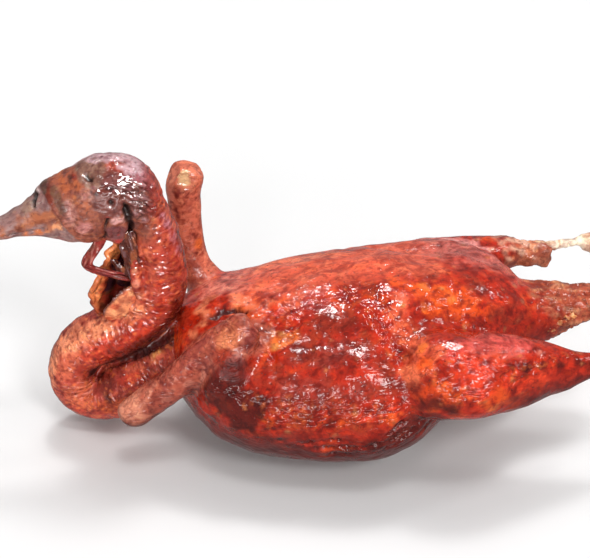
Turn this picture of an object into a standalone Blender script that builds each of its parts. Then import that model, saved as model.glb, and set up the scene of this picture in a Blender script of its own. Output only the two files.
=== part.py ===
"""Roast duck: a whole roast duck, head and neck on, lying on its back.

The carcass is one solid. Its torso, head and legs are lofts through upright ovals, its neck and wings are
tubes along a path, and they grow into one skin in a voxel remesh. The bared shank bones, the windpipe and the
torn skin of the throat are joined on afterwards, because they are thinner than two cells of that remesh.
The tail points to +X, the bill to -X and the breast up. The duck rests on the flattened middle of its back.
"""

import math

import bmesh
import bpy
import numpy as np

# ---------------------------------------------------------------- driving dimensions, in metres
CM = 0.01  # every table of stations below is in centimetres, from the floor under the middle of the back

VOXEL = 0.0028  # cell of the remesh that joins the parts
SMOOTHING_ROUNDS = 3  # passes that round the creases between the parts
TRIANGLE_SHARE = 0.13  # share of the remeshed triangles that the thinned skin keeps

THROAT_SKIN = 0.0030  # thickness of the torn skin at the throat
THROAT_DEPTH = 0.011  # how far its pocket bellies away from its rim

FLOOR_SIZE = 0.6
FLOOR_THICKNESS = 0.05

# Puts the middle of the duck's box on the origin, in plan.
TO_BOX_CENTRE = np.array([0.0348, 0.0036, 0.0])

SKIN_COLOUR = (0.42, 0.055, 0.022, 1.0)
SKIN_ROUGHNESS = 0.32

# ---------------------------------------------------------------- lofts
# Each station: x, y and height of an oval's widest level, then half its width, its rise and its drop.
TORSO = [
    (-12.3, 1.0, 6.1, 1.2, 1.0, 1.4),
    (-11.4, 0.9, 6.1, 3.6, 2.7, 3.4),
    (-9.6, 0.6, 5.9, 5.9, 3.7, 4.9),
    (-7.0, 0.4, 5.6, 7.1, 4.5, 5.6),
    (-4.0, 0.2, 5.5, 7.8, 5.2, 5.8),
    (-1.0, 0.0, 5.5, 8.2, 5.6, 5.8),
    (1.7, 0.1, 5.6, 7.9, 5.7, 5.8),
    (4.2, 0.3, 6.0, 6.6, 5.1, 5.3),
    (6.6, 0.5, 6.6, 5.2, 4.2, 4.3),
    (8.8, 0.7, 7.1, 4.0, 3.1, 3.2),
    (10.8, 0.8, 7.4, 2.9, 2.2, 2.3),
    (12.6, 0.8, 7.4, 2.1, 1.5, 1.6),
    (14.4, 0.8, 7.4, 1.4, 1.1, 1.1),
    (15.5, 0.8, 7.4, 0.5, 0.5, 0.5),
]
HEAD = [
    (-24.0, 1.5, 14.85, 0.6, 0.24, 0.22),
    (-23.5, 1.5, 14.95, 1.0, 0.36, 0.32),
    (-22.7, 1.5, 15.2, 1.1, 0.45, 0.40),
    (-21.8, 1.5, 15.5, 1.0, 0.60, 0.55),
    (-20.9, 1.5, 15.85, 0.95, 0.85, 0.85),
    (-20.0, 1.5, 16.15, 1.0, 1.20, 1.2),
    (-19.4, 1.5, 16.5, 1.15, 1.65, 1.6),
    (-18.7, 1.5, 16.7, 1.35, 1.95, 1.95),
    (-18.1, 1.5, 16.8, 1.6, 2.25, 2.2),
    (-17.5, 1.5, 16.95, 1.8, 2.5, 2.5),
    (-16.7, 1.5, 17.1, 2.05, 2.7, 2.7),
    (-15.7, 1.5, 17.15, 2.2, 2.75, 2.7),
    (-14.5, 1.5, 17.15, 2.15, 2.7, 2.6),
    (-13.4, 1.5, 17.1, 1.85, 2.3, 2.1),
    (-12.5, 1.5, 16.8, 1.25, 1.6, 1.3),
    (-12.0, 1.5, 16.5, 0.4, 0.5, 0.5),
]
NEAR_LEG = [
    (-0.5, -3.8, 6.2, 1.2, 1.4, 1.2),
    (1.0, -4.9, 6.7, 2.6, 2.7, 2.7),
    (3.2, -5.7, 7.2, 3.1, 3.1, 3.1),
    (5.6, -5.9, 7.4, 2.9, 2.9, 2.9),
    (8.0, -5.9, 7.4, 2.2, 2.4, 2.3),
    (10.2, -5.8, 7.3, 1.5, 1.8, 1.7),
    (12.0, -5.7, 7.2, 1.0, 1.1, 1.1),
    (13.2, -5.6, 7.2, 0.75, 0.8, 0.8),
    (13.6, -5.6, 7.2, 0.4, 0.45, 0.45),
]
FAR_LEG = [
    (-0.5, 3.6, 6.0, 1.2, 1.4, 1.2),
    (1.0, 4.4, 6.2, 2.4, 2.6, 2.7),
    (3.4, 5.1, 6.6, 2.8, 2.9, 3.1),
    (5.8, 5.4, 6.9, 2.6, 2.7, 2.9),
    (8.0, 5.6, 7.5, 2.0, 2.0, 2.1),
    (10.0, 5.9, 8.0, 1.3, 1.2, 1.3),
    (11.8, 6.1, 8.0, 0.85, 0.75, 0.9),
    (13.0, 6.2, 7.8, 0.75, 0.75, 0.8),
    (13.4, 6.2, 7.8, 0.4, 0.4, 0.4),
]
# Creases: half the width and the depth of each, and the line that it follows.
TORSO_CREASES = [
    (0.50, 0.45, [(-6.2, -6.7, 4.8), (-3.4, -7.5, 4.5), (-1.0, -8.0, 4.5), (1.4, -7.7, 4.8), (3.2, -6.9, 5.2)]),
    (0.50, 0.45, [(-5.0, -6.6, 3.2), (-2.5, -7.3, 3.0), (0.0, -7.6, 3.0), (2.4, -7.0, 3.4)]),
    (0.55, 0.50, [(-8.4, -1.6, 10.0), (-7.0, -3.1, 9.9), (-6.2, -4.4, 9.2), (-6.3, -5.4, 8.2)]),
    (0.90, 0.35, [(-4.6, -4.2, 9.6), (-2.3, -4.4, 10.0), (-0.4, -5.1, 9.8), (1.0, -5.8, 9.2)]),
    (0.80, 0.55, [(1.6, -4.4, 10.4), (3.6, -3.7, 10.4), (5.4, -3.7, 10.0), (7.6, -3.2, 9.2), (9.4, -2.8, 8.4)]),
]
HEAD_CREASES = [
    (0.35, 0.9, [(-15.75, -0.2, 14.6), (-15.7, -0.4, 15.5), (-15.6, -0.6, 16.2)]),
    (0.40, 1.0, [(-14.2, -0.1, 14.9), (-14.1, -0.4, 16.0), (-14.5, -0.6, 17.6)]),
]
# Lumps: x, y and height of the middle, then half the size along x, y and z.
JAW_JOINT = (-17.2, 0.1, 15.9, 0.75, 0.6, 0.75)
THROAT_MEAT = (-15.0, 0.1, 15.6, 0.6, 0.6, 1.0)
EYE = (-16.7, 0.35, 18.8, 0.8, 0.5, 0.7)

# ---------------------------------------------------------------- tubes
# Each station: x, y and z of the middle line, then half the width across it and half the thickness.
NECK = [
    (-8.0, 0.9, 6.8, 3.0, 2.8),
    (-10.0, 1.1, 6.1, 2.7, 2.6),
    (-12.0, 1.4, 5.1, 2.4, 2.3),
    (-14.1, 1.8, 3.7, 2.1, 2.1),
    (-16.1, 2.3, 2.4, 1.9, 1.9),
    (-17.7, 2.5, 2.6, 1.7, 1.65),
    (-18.2, 2.5, 4.3, 1.65, 1.55),
    (-17.3, 2.4, 6.0, 1.7, 1.65),
    (-15.7, 2.2, 6.9, 1.8, 1.75),
    (-14.1, 2.0, 7.8, 1.8, 1.75),
    (-12.8, 1.8, 9.1, 1.7, 1.75),
    (-12.15, 1.6, 10.9, 1.65, 1.75),
    (-12.2, 1.5, 12.8, 1.55, 1.65),
    (-12.6, 1.5, 14.6, 1.45, 1.4),
    (-13.2, 1.5, 16.4, 1.4, 1.3),
]
NEAR_UPPER_ARM = [(-9.6, -3.6, 5.0, 1.3, 1.5), (-8.9, -4.2, 7.8, 1.2, 1.4), (-8.1, -3.3, 10.2, 1.1, 1.2)]
NEAR_FOREARM = [
    (-7.5, -3.0, 11.0, 0.9, 1.1),
    (-8.2, -3.1, 10.4, 1.2, 1.5),
    (-9.6, -3.1, 9.0, 1.15, 1.35),
    (-12.0, -2.9, 6.6, 0.95, 1.15),
    (-14.0, -2.6, 4.8, 0.95, 1.1),
    (-14.9, -2.5, 4.0, 0.9, 1.05),
    (-15.4, -2.5, 3.6, 0.5, 0.6),
]
FAR_UPPER_ARM = [(-7.5, 3.4, 6.5, 1.2, 1.4), (-9.0, 5.0, 7.6, 1.2, 1.3), (-10.0, 5.6, 8.8, 1.1, 1.2)]
FAR_FOREARM = [
    (-9.7, 5.4, 7.9, 0.8, 1.0),
    (-10.1, 5.6, 9.2, 1.0, 1.15),
    (-10.5, 5.9, 11.2, 0.85, 0.9),
    (-10.6, 6.0, 13.8, 0.85, 0.95),
    (-10.4, 6.0, 15.6, 0.95, 1.05),
    (-10.3, 6.0, 16.3, 0.8, 0.8),
]
NEAR_SHANK = [
    (11.6, -5.7, 7.2, 0.35, 0.35),
    (13.4, -5.6, 7.2, 0.33, 0.33),
    (14.8, -5.5, 7.15, 0.30, 0.30),
    (15.5, -5.45, 7.1, 0.40, 0.38),
    (16.0, -5.4, 7.05, 0.66, 0.60),
    (16.6, -5.4, 7.0, 0.66, 0.58),
    (16.9, -5.4, 7.0, 0.35, 0.30),
]
FAR_SHANK = [
    (11.6, 6.1, 8.15, 0.35, 0.35),
    (13.2, 6.2, 8.15, 0.32, 0.32),
    (14.9, 6.35, 8.2, 0.29, 0.29),
    (15.6, 6.45, 8.05, 0.42, 0.42),
    (16.1, 6.5, 7.8, 0.72, 0.68),
    (16.65, 6.5, 7.7, 0.68, 0.64),
    (16.95, 6.5, 7.65, 0.35, 0.32),
]
WINDPIPE = [
    (-15.9, 1.0, 15.0, 0.25, 0.25),
    (-16.4, 1.0, 14.0, 0.24, 0.24),
    (-17.0, 1.0, 12.9, 0.30, 0.28),
    (-16.3, 1.0, 12.3, 0.32, 0.27),
    (-14.9, 1.1, 11.6, 0.28, 0.23),
    (-13.3, 1.4, 11.0, 0.24, 0.20),
]
# The torn skin of the throat: its free rim, and the line down the neck that it grows from.
THROAT_RIM = [
    (-14.3, 1.6, 14.3),
    (-15.3, 1.5, 12.9),
    (-16.2, 1.4, 11.7),
    (-16.7, 1.5, 10.4),
    (-16.6, 1.7, 9.2),
    (-15.8, 1.9, 8.2),
]
THROAT_ROOT = [
    (-13.2, 2.2, 14.0),
    (-13.0, 2.3, 12.8),
    (-12.9, 2.4, 11.4),
    (-13.0, 2.5, 10.1),
    (-13.6, 2.5, 9.0),
    (-14.6, 2.4, 7.9),
]


# ---------------------------------------------------------------- ways of making a shape
def through(rows, per_span=4):
    """A Catmull-Rom curve through the rows of a table, every column carried along it."""
    rows = np.array(rows, float)
    padded = np.vstack([2 * rows[0] - rows[1], rows, 2 * rows[-1] - rows[-2]])
    t = np.linspace(0, 1, per_span, endpoint=False)[:, None]
    spans = [
        0.5 * (2 * b + (c - a) * t + (2 * a - 5 * b + 4 * c - d) * t**2 + (3 * b - a - 3 * c + d) * t**3)
        for a, b, c, d in zip(padded, padded[1:], padded[2:], padded[3:])
    ]
    return np.vstack([*spans, rows[-1:]])


def across_the_middle(creases):
    """The same creases on the far side, and the near ones before them."""
    far_side = np.array([1.0, -1.0, 1.0])
    return creases + [(width, depth, np.array(line) * far_side) for width, depth, line in creases]


def skin_over(rings):
    """Points in metres and faces of a closed skin over a row of rings, each end closed by one face."""
    count, around = rings.shape[:2]
    faces = []
    for i in range(count - 1):
        for j in range(around):
            k = (j + 1) % around
            faces.append((i * around + j, (i + 1) * around + j, (i + 1) * around + k, i * around + k))
    faces.append(tuple(range(around)))
    faces.append(tuple(reversed(range((count - 1) * around, count * around))))
    return rings.reshape(-1, 3) * CM, faces


def loft(stations, creases=(), around=48):
    """A loft through upright ovals in the YZ plane, each pressed in towards its middle along the creases."""
    x, y, z, side, rise, drop = through(stations, per_span=6).T[:, :, None]
    angle = np.linspace(0, 2 * math.pi, around, endpoint=False)
    height = np.where(np.sin(angle) > 0, rise, drop) * np.sin(angle)
    middle = np.stack([x, y, z], axis=2)
    spoke = np.stack([0 * height, side * np.cos(angle), height], axis=2)
    outwards = spoke / np.linalg.norm(spoke, axis=2, keepdims=True)
    pressed_in = 0
    for width, depth, line in creases:
        gaps = (middle + spoke)[:, :, None] - through(line)
        nearest = np.linalg.norm(gaps, axis=3).min(axis=2, keepdims=True)
        pressed_in = pressed_in + depth * np.exp(-((nearest / width) ** 2))
    return skin_over(middle + spoke - outwards * pressed_in)


def tube(stations, around=24):
    """An oval carried along a path, square to it, with its width kept as near to Y as the path lets it."""
    table = through(stations)
    path, across, thick = table[:, :3], table[:, 3, None, None], table[:, 4, None, None]
    along = np.gradient(path, axis=0)
    along /= np.linalg.norm(along, axis=1, keepdims=True)
    sideways = np.array([0.0, 1.0, 0.0]) - along * along[:, 1:2]
    sideways /= np.linalg.norm(sideways, axis=1, keepdims=True)
    outwards = np.cross(along, sideways)
    angle = np.linspace(0, 2 * math.pi, around, endpoint=False)[None, :, None]
    oval = across * sideways[:, None] * np.cos(angle) + thick * outwards[:, None] * np.sin(angle)
    return skin_over(path[:, None] + oval)


def lump(x, y, z, half_x, half_y, half_z, around=16):
    """An egg-shaped swelling."""
    swelling = bmesh.new()
    bmesh.ops.create_uvsphere(swelling, u_segments=around, v_segments=around // 2, radius=1.0)
    points = np.array([v.co for v in swelling.verts]) * (half_x, half_y, half_z) + (x, y, z)
    faces = [tuple(v.index for v in f.verts) for f in swelling.faces]
    swelling.free()
    return points * CM, faces


def pair_of(near, middle_y):
    """A lump and its twin on the far side of the head."""
    far = (near[0], 2 * middle_y - near[1], *near[2:])
    return [lump(*near), lump(*far)]


def pocket(rim, root, across=7):
    """An open sheet from a free rim to its root, bellied away from the near side between them."""
    rim, root = through(rim, 3) * CM, through(root, 3) * CM
    share = np.linspace(0, 1, across)[None, :, None]
    belly = THROAT_DEPTH * np.sin(math.pi * share) * np.array([0.0, 1.0, 0.0])
    points = rim[:, None] * (1 - share) + root[:, None] * share + belly
    faces = [
        (i * across + j, (i + 1) * across + j, (i + 1) * across + j + 1, i * across + j + 1)
        for i in range(len(rim) - 1)
        for j in range(across - 1)
    ]
    return points.reshape(-1, 3), faces


# ---------------------------------------------------------------- Blender objects
def collection(name):
    made = bpy.data.collections.new(name)
    bpy.context.scene.collection.children.link(made)
    return made


def mesh_object(name, shapes, where):
    """One object from several skins, moved to the box's centre, with its faces turned outwards."""
    body = bmesh.new()
    for points, faces in shapes:
        corners = [body.verts.new(p + TO_BOX_CENTRE) for p in points]
        for face in faces:
            body.faces.new([corners[i] for i in face])
    bmesh.ops.recalc_face_normals(body, faces=body.faces)
    mesh = bpy.data.meshes.new(name)
    body.to_mesh(mesh)
    body.free()
    made = bpy.data.objects.new(name, mesh)
    where.objects.link(made)
    return made


def guide(made):
    """Marks an object that only lends its shape to the duck."""
    made.hide_render = True
    made.display_type = "WIRE"
    return made


def combine(duck, operation, other):
    step = duck.modifiers.new(f"{operation.lower()}_{other.name}", "BOOLEAN")
    step.operation = operation
    step.object = other


def roast_skin():
    material = bpy.data.materials.new("roast_skin")
    material.use_nodes = True
    shader = material.node_tree.nodes["Principled BSDF"]
    shader.inputs["Base Color"].default_value = SKIN_COLOUR
    shader.inputs["Roughness"].default_value = SKIN_ROUGHNESS
    shader.inputs["Metallic"].default_value = 0.0
    return material


# ---------------------------------------------------------------- the duck
def carcass(where):
    """Torso, legs, wings, neck and head, grown into one skin."""
    middle_of_head = HEAD[0][1]
    shapes = [
        loft(TORSO, across_the_middle(TORSO_CREASES)),
        loft(HEAD, HEAD_CREASES),
        loft(NEAR_LEG),
        loft(FAR_LEG),
        tube(NECK),
        tube(NEAR_UPPER_ARM),
        tube(NEAR_FOREARM),
        tube(FAR_UPPER_ARM),
        tube(FAR_FOREARM),
        lump(*THROAT_MEAT),
        *pair_of(JAW_JOINT, middle_of_head),
        *pair_of(EYE, middle_of_head),
    ]
    duck = mesh_object("roast_duck", shapes, where)
    duck.data.materials.append(roast_skin())

    joined = duck.modifiers.new("one_skin", "REMESH")
    joined.mode = "VOXEL"
    joined.voxel_size = VOXEL
    rounded = duck.modifiers.new("rounded_creases", "SMOOTH")
    rounded.iterations = SMOOTHING_ROUNDS
    thinned = duck.modifiers.new("fewer_faces", "DECIMATE")
    thinned.ratio = TRIANGLE_SHARE
    return duck


def torn_throat_skin(where):
    skin = guide(mesh_object("throat_skin", [pocket(THROAT_RIM, THROAT_ROOT)], where))
    wall = skin.modifiers.new("wall", "SOLIDIFY")
    wall.thickness = THROAT_SKIN
    wall.offset = 0.0
    return skin


def floor_under_the_back(where):
    """A block whose top is the floor, which flattens the back that lies on it."""
    block = bmesh.new()
    bmesh.ops.create_cube(block, size=1.0)
    bmesh.ops.scale(block, vec=(FLOOR_SIZE, FLOOR_SIZE, FLOOR_THICKNESS), verts=block.verts)
    mesh = bpy.data.meshes.new("floor")
    block.to_mesh(mesh)
    block.free()
    floor = bpy.data.objects.new("floor", mesh)
    floor.location.z = -FLOOR_THICKNESS / 2
    where.objects.link(floor)
    return guide(floor)


def build():
    for old in list(bpy.data.objects):
        bpy.data.objects.remove(old, do_unlink=True)
    parts = collection("roast_duck")
    guides = collection("guides")

    duck = carcass(parts)
    thin_parts = {
        "near_shank": tube(NEAR_SHANK, around=10),
        "far_shank": tube(FAR_SHANK, around=10),
        "windpipe": tube(WINDPIPE, around=8),
    }
    for name, shape in thin_parts.items():
        combine(duck, "UNION", guide(mesh_object(name, [shape], guides)))
    combine(duck, "UNION", torn_throat_skin(guides))
    combine(duck, "DIFFERENCE", floor_under_the_back(guides))


build()
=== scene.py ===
"""Roast duck, dressed: a whole glazed duck on its back, with its head and neck on.

Each section makes one piece of the bird: the carcass under its glazed skin, the neck and head, the bared
shank bones, the windpipe, the torn skin and the strands of the throat, the shreds under the tail and the
spice. The last one lights it. Stations, lines and spots are in centimetres from the floor under the middle
of the back, with the bill towards -X and the breast up, as in the solid.
"""

import math

import bpy
import numpy as np
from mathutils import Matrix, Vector


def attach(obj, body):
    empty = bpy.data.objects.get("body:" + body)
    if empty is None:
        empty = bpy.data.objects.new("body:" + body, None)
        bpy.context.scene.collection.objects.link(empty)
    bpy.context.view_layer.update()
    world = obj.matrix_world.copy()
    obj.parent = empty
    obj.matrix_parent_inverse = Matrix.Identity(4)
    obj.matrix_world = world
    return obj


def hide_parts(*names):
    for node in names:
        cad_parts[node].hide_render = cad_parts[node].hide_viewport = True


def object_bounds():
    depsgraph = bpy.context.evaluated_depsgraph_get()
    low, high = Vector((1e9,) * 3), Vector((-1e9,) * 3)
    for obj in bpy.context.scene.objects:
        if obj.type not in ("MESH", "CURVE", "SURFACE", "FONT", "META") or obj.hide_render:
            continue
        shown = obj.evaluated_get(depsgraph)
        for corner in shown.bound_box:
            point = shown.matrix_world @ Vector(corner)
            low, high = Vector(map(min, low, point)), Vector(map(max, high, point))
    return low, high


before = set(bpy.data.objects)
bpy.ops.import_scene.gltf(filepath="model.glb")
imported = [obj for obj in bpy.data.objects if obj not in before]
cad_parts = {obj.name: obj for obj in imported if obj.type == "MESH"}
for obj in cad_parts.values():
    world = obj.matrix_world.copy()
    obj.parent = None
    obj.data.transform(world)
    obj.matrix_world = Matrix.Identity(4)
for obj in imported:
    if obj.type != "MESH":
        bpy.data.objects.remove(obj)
solid_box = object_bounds()

# ---------------------------------------------------------------- carcass
# The plucked body of the duck: torso, both legs and both wings under one roasted, glazed skin, stretched over
# the breast, gathered in folds under the side and sunk in along the thighs. Oval sections carried along the
# middle lines of the parts are grown into one skin, which is then pressed in, puckered and painted, with
# painted shade on its low underside, under the wing and in its folds and creases, and painted light and sheen
# on its top, its far slopes and its near thigh.
CM = 0.01
MIDDLE_OF_BACK = np.array([3.48, 0.36, 0.0])  # where the stations' origin lies in the frame, in centimetres
SKIN_CELL = 0.132  # edge of a face of the carcass skin, in centimetres

TORSO = [  # x, y and height of an oval's widest level, then half its width, its rise and its drop
    (-12.3, 1, 6.1, 1.2, 1, 1.4), (-11.4, 0.9, 6.1, 3.6, 2.7, 3.4), (-9.6, 0.6, 5.9, 5.9, 3.7, 4.9),
    (-7, 0.4, 5.6, 7.1, 4.5, 5.6), (-4, 0.2, 5.5, 7.8, 5.2, 5.8), (-1, 0, 5.5, 8.2, 5.6, 5.8),
    (1.7, 0.1, 5.6, 7.7, 5.7, 5.3), (4.2, 0.3, 6, 6.1, 5.1, 4.5), (6.6, 0.5, 6.6, 5, 4.2, 3.9),
    (8.8, 0.6, 7, 3.7, 3, 3.3), (10.4, 0.4, 7.2, 2.4, 1.9, 2.4), (12.4, 0.6, 7.3, 2, 1.4, 1.6),
    (14.4, 0.8, 7.3, 1.3, 1.1, 1.1), (15.5, 0.8, 7.4, 0.5, 0.5, 0.5),
]
NEAR_LEG = [
    (-0.5, -3.8, 6.2, 1.2, 1.4, 1.2), (1, -4.9, 6.9, 2.4, 2.5, 2.1), (3.2, -5.6, 7.3, 3, 3, 2.3),
    (5.6, -5.9, 7.4, 2.9, 2.9, 2.45), (8, -5.9, 7.4, 2.2, 2.4, 2.3), (10.2, -5.8, 7.3, 1.5, 1.8, 1.7),
    (12, -5.7, 7.2, 1, 1.1, 1.1), (13.2, -5.6, 7.2, 0.75, 0.8, 0.8), (13.6, -5.6, 7.2, 0.4, 0.45, 0.45),
]
FAR_LEG = [
    (-0.5, 3.6, 6, 1.2, 1.4, 1.2), (1, 4.4, 6.2, 2.4, 2.6, 2.7), (3.4, 5.1, 6.6, 2.8, 2.9, 3.1),
    (5.8, 5.4, 6.9, 2.6, 2.7, 2.9), (8, 5.6, 7.5, 2, 2, 2.1), (10, 5.9, 8, 1.3, 1.2, 1.3),
    (11.8, 6.1, 8, 0.85, 0.75, 0.9), (13, 6.2, 7.8, 0.75, 0.75, 0.8), (13.4, 6.2, 7.8, 0.4, 0.4, 0.4),
]
FAR_FLANK = [  # the skin that is drawn over from the belly to the far thigh
    (-3.4, 3.2, 6.6, 2.6, 2.6, 2), (-1, 3.6, 6.7, 3.4, 3.3, 2.4), (1.8, 3.7, 6.8, 3.8, 3.5, 2.4),
    (4.2, 3.6, 6.9, 3.9, 3.4, 2.4), (6.6, 3.3, 7.2, 3.5, 3.2, 2.4), (8.3, 3, 7.3, 2.8, 2.7, 2.2),
    (9.4, 2.6, 7.2, 2.1, 2.1, 1.8), (10.3, 2.1, 7.1, 1.3, 1.4, 1.4), (10.9, 1.8, 7, 0.4, 0.5, 0.5),
]
# x, y and z of a middle line, then half the width across it and half the thickness
NEAR_UPPER_ARM = [(-9.6, -3.6, 5, 1.3, 1.5), (-8.9, -4.2, 7.8, 1.2, 1.4), (-8.1, -3.3, 9.8, 1.1, 1.15)]
NEAR_FOREARM = [
    (-7.3, -3.1, 10.45, 0.95, 1), (-8.1, -3.2, 10, 1.25, 1.3), (-9.6, -3.1, 8.8, 1.15, 1.3),
    (-12, -2.9, 6.6, 0.95, 1.15), (-14, -2.6, 4.8, 0.95, 1.1), (-14.9, -2.5, 4, 0.9, 1.05),
    (-15.4, -2.5, 3.6, 0.5, 0.6),
]
FAR_UPPER_ARM = [(-7.5, 3.4, 6.5, 1.2, 1.4), (-9, 5, 7.6, 1.2, 1.3), (-10, 5.6, 8.8, 1.1, 1.2)]
FAR_FOREARM = [
    (-9.7, 5.4, 7.9, 0.8, 1), (-10.1, 5.6, 9.2, 1, 1.15), (-10.5, 5.9, 11.2, 0.9, 1.1),
    (-10.6, 6, 13.8, 0.9, 1.12), (-10.45, 6, 15.6, 1, 1.25), (-10.4, 6, 16.3, 0.85, 1),
]
# Folds and hollows: half the width and the depth of each, and the line that it follows.
BODY_FOLDS = [
    (0.17, 0.36, [(-5.2, -6.9, 4.2), (-3.4, -7.6, 4.7), (-0.9, -7.8, 4.9), (0.4, -8, 5.5), (1.8, -8.1, 6.4)]),
    (0.15, 0.36, [(-4.2, -7.3, 3.9), (-2, -7.8, 4.2), (-0.2, -7.9, 4.6), (1.2, -7.8, 5.2), (2.3, -7.7, 6)]),
    (0.15, 0.36, [(-3.2, -7.2, 3.3), (-0.8, -7.4, 3.6), (0.6, -7.7, 4.2), (1.8, -7.5, 4.9), (3, -7.2, 5.6)]),
    (0.16, 0.3, [(-1.4, -7, 2.9), (0.4, -7.1, 3.4), (1.8, -7, 4.2), (3.2, -6.4, 4.9)]),
    (0.28, 0.18, [(-7.6, -2, 9.9), (-6.6, -2.7, 9.8), (-5.6, -2.9, 9.9), (-4.7, -3.1, 9.9)]),
    (0.25, 0.46, [(-9.6, -0.5, 9.5), (-8.9, -0.3, 9.7), (-8.3, -0.4, 9.8), (-7.7, -0.9, 9.9)]),
    (0.12, 0.14, [
        (4.6, -7.1, 10.1), (5.4, -7.4, 9.9), (6.3, -7.6, 9.6), (7.2, -7.5, 9.4), (8.1, -7.4, 9.1),
        (10.1, -6.8, 8.7),
    ]),
    (0.16, 0.24, [(-5.2, 7, 4.2), (-3, 7.7, 4.8), (-0.6, 8, 5.4), (1.8, 7.6, 6)]),
    (0.16, 0.24, [(-4, 7.4, 3.6), (-1.6, 7.9, 4.2), (0.8, 7.8, 4.9), (2.6, 7, 5.5)]),
]
BODY_HOLLOWS = [
    (0.3, 0.3, [(-7, -3.2, 9.8), (-6.4, -4.4, 9), (-6.4, -5.4, 8.1)]),
    (0.9, 0.28, [(-4.6, -4.2, 9.6), (-2.3, -4.4, 10), (-0.4, -5.1, 9.8), (1, -5.8, 9.2)]),
    (0.8, 0.26, [(1.6, -4.4, 10.4), (3.6, -3.7, 10.4), (5.4, -3.7, 10), (7.6, -3.2, 9.2), (9.4, -2.8, 8.4)]),
    (0.8, 0.26, [(1.6, 4.4, 10.4), (3.6, 3.7, 10.4), (5.4, 3.7, 10), (7.6, 3.6, 9.2), (9.4, 3.2, 8.4)]),
]
SUNK_SPOTS = [(5.2, -5.1, 10.2, 0.75, 0.36), (-6.3, -6.65, 4.5, 0.25, 0.1)]  # x, y, z, size and depth

# Ragged meat where the far leg was trimmed, as lumps of x, y, z and half the size each way.
LEG_LUMPS = [
    (12.7, 5.9, 7.5, 0.75, 0.55, 0.75), (11.6, 5.5, 7.7, 0.8, 0.6, 0.6), (12.9, 6.2, 8, 0.5, 0.6, 0.5),
]
# The flat cuts round the far wing's joint: each a direction and how far it lies from the joint's middle.
CUT_JOINT = np.array([-10.35, 6.0, 15.6])
FAR_WING_CUTS = [
    ((0.1, -0.2, 1), 0.92), ((-0.85, -0.1, 0.62), 0.8), ((0.8, -0.1, 0.62), 0.84), ((0, -1, 0.1), 0.8),
]
CUT_BONE = [(-10.7, 5.1, 16, 0.42), (-10.5, 5.2, 15.5, 0.4), (-10.4, 5.2, 16.3, 0.3)]
FAR_WING_DARK_SPOTS = [
    (-9.7, 5.1, 14.9, 0.3), (-9.8, 5.1, 14.1, 0.28), (-9.8, 5, 13.3, 0.3), (-9.8, 5, 12.4, 0.3),
    (-9.9, 5, 11.6, 0.3), (-11, 5.2, 14.9, 0.4), (-11.2, 5, 13.4, 0.45), (-11.3, 5.2, 15.8, 0.3),
    (-10.4, 5, 14.7, 0.3),
]
ELBOW = [(-8.8, -4.1, 10.5, 0.8), (-9.4, -4.3, 10, 0.6)]
FOREARM_RED = [(-9.8, -4.5, 9.3, 0.6), (-9.2, -4.6, 9.6, 0.4), (-8.9, -4.5, 8.9, 0.5), (-11.2, -4, 8.1, 0.4)]
ELBOW_END = [(-7.7, -3.9, 10.4, 0.6), (-7.8, -4.2, 9.8, 0.5)]
FAR_WING_FAT = [(-9.7, 5.2, 11, 0.5)]
CHARRED_DENT = [(-6.3, -6.65, 4.5, 0.28)]
UNDER_THE_ELBOW = [(-9, -5.1, 8.9, 0.6), (-8.8, -5.2, 8.3, 0.6), (-9, -4.9, 9.4, 0.6)]
UNDERSIDE_SHADE = [
    (-2.6, -7.2, 3.2, 0.9), (-1.2, -7.5, 3.6, 1.1), (0.2, -7.7, 4.2, 1.2), (1.4, -7.7, 4.9, 1.2),
    (2.6, -7.4, 5.6, 1.1), (0.8, -7, 3.4, 1.1), (3.6, -6.6, 4.9, 1.1), (-5, -6.4, 3, 0.7),
    (2.8, -7.8, 6.3, 0.7),
]


def through(rows, per_span=8):
    """A Catmull-Rom curve through the rows: each span is the cubic set by the four rows round it."""
    rows = np.array(rows, float)
    padded = np.vstack([2 * rows[0] - rows[1], rows, 2 * rows[-1] - rows[-2]])
    a, b, c, d = (padded[i : len(padded) - 3 + i, None] for i in range(4))
    t = np.linspace(0, 1, per_span, endpoint=False)[None, :, None]
    spans = 0.5 * (2 * b + (c - a) * t + (2 * a - 5 * b + 4 * c - d) * t**2 + (3 * b - a - 3 * c + d) * t**3)
    return np.vstack([spans.reshape(-1, rows.shape[1]), rows[-1:]])


def ovals(stations, around=72):
    """Upright ovals, whose points lie side * cos a across and rise or drop * sin a up from the middle."""
    x, y, z, side, rise, drop = through(stations).T[:, :, None]
    angle = np.linspace(0, 2 * math.pi, around, endpoint=False)
    height = np.where(np.sin(angle) > 0, rise, drop) * np.sin(angle)
    return np.stack([x + 0 * height, y + side * np.cos(angle), z + height], axis=2)


def carried(stations, around=48):
    """Ovals carried along a path: across * cos a sideways and thick * sin a outwards, square to the path."""
    table = through(stations)
    path, across, thick = table[:, :3], table[:, 3, None, None], table[:, 4, None, None]
    along = np.gradient(path, axis=0)
    along /= np.linalg.norm(along, axis=1, keepdims=True)
    sideways = np.array([0.0, 1.0, 0.0]) - along * along[:, 1:2]
    sideways /= np.linalg.norm(sideways, axis=1, keepdims=True)
    outwards = np.cross(along, sideways)
    angle = np.linspace(0, 2 * math.pi, around, endpoint=False)[None, :, None]
    wide, high = across * np.cos(angle), thick * np.sin(angle)
    return path[:, None] + wide * sideways[:, None] + high * outwards[:, None]


def egg(x, y, z, half_x, half_y, half_z, rings=13, around=20):
    """A closed egg: rings of radius sin v at height cos v, stretched by half its size each way."""
    v = np.linspace(0.05, math.pi - 0.05, rings)[:, None]
    u = np.linspace(0, 2 * math.pi, around, endpoint=False)
    unit = np.stack([np.sin(v) * np.cos(u), np.sin(v) * np.sin(u), np.cos(v) + 0 * u], axis=2)
    return np.array([x, y, z]) + unit * [half_x, half_y, half_z]


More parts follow.
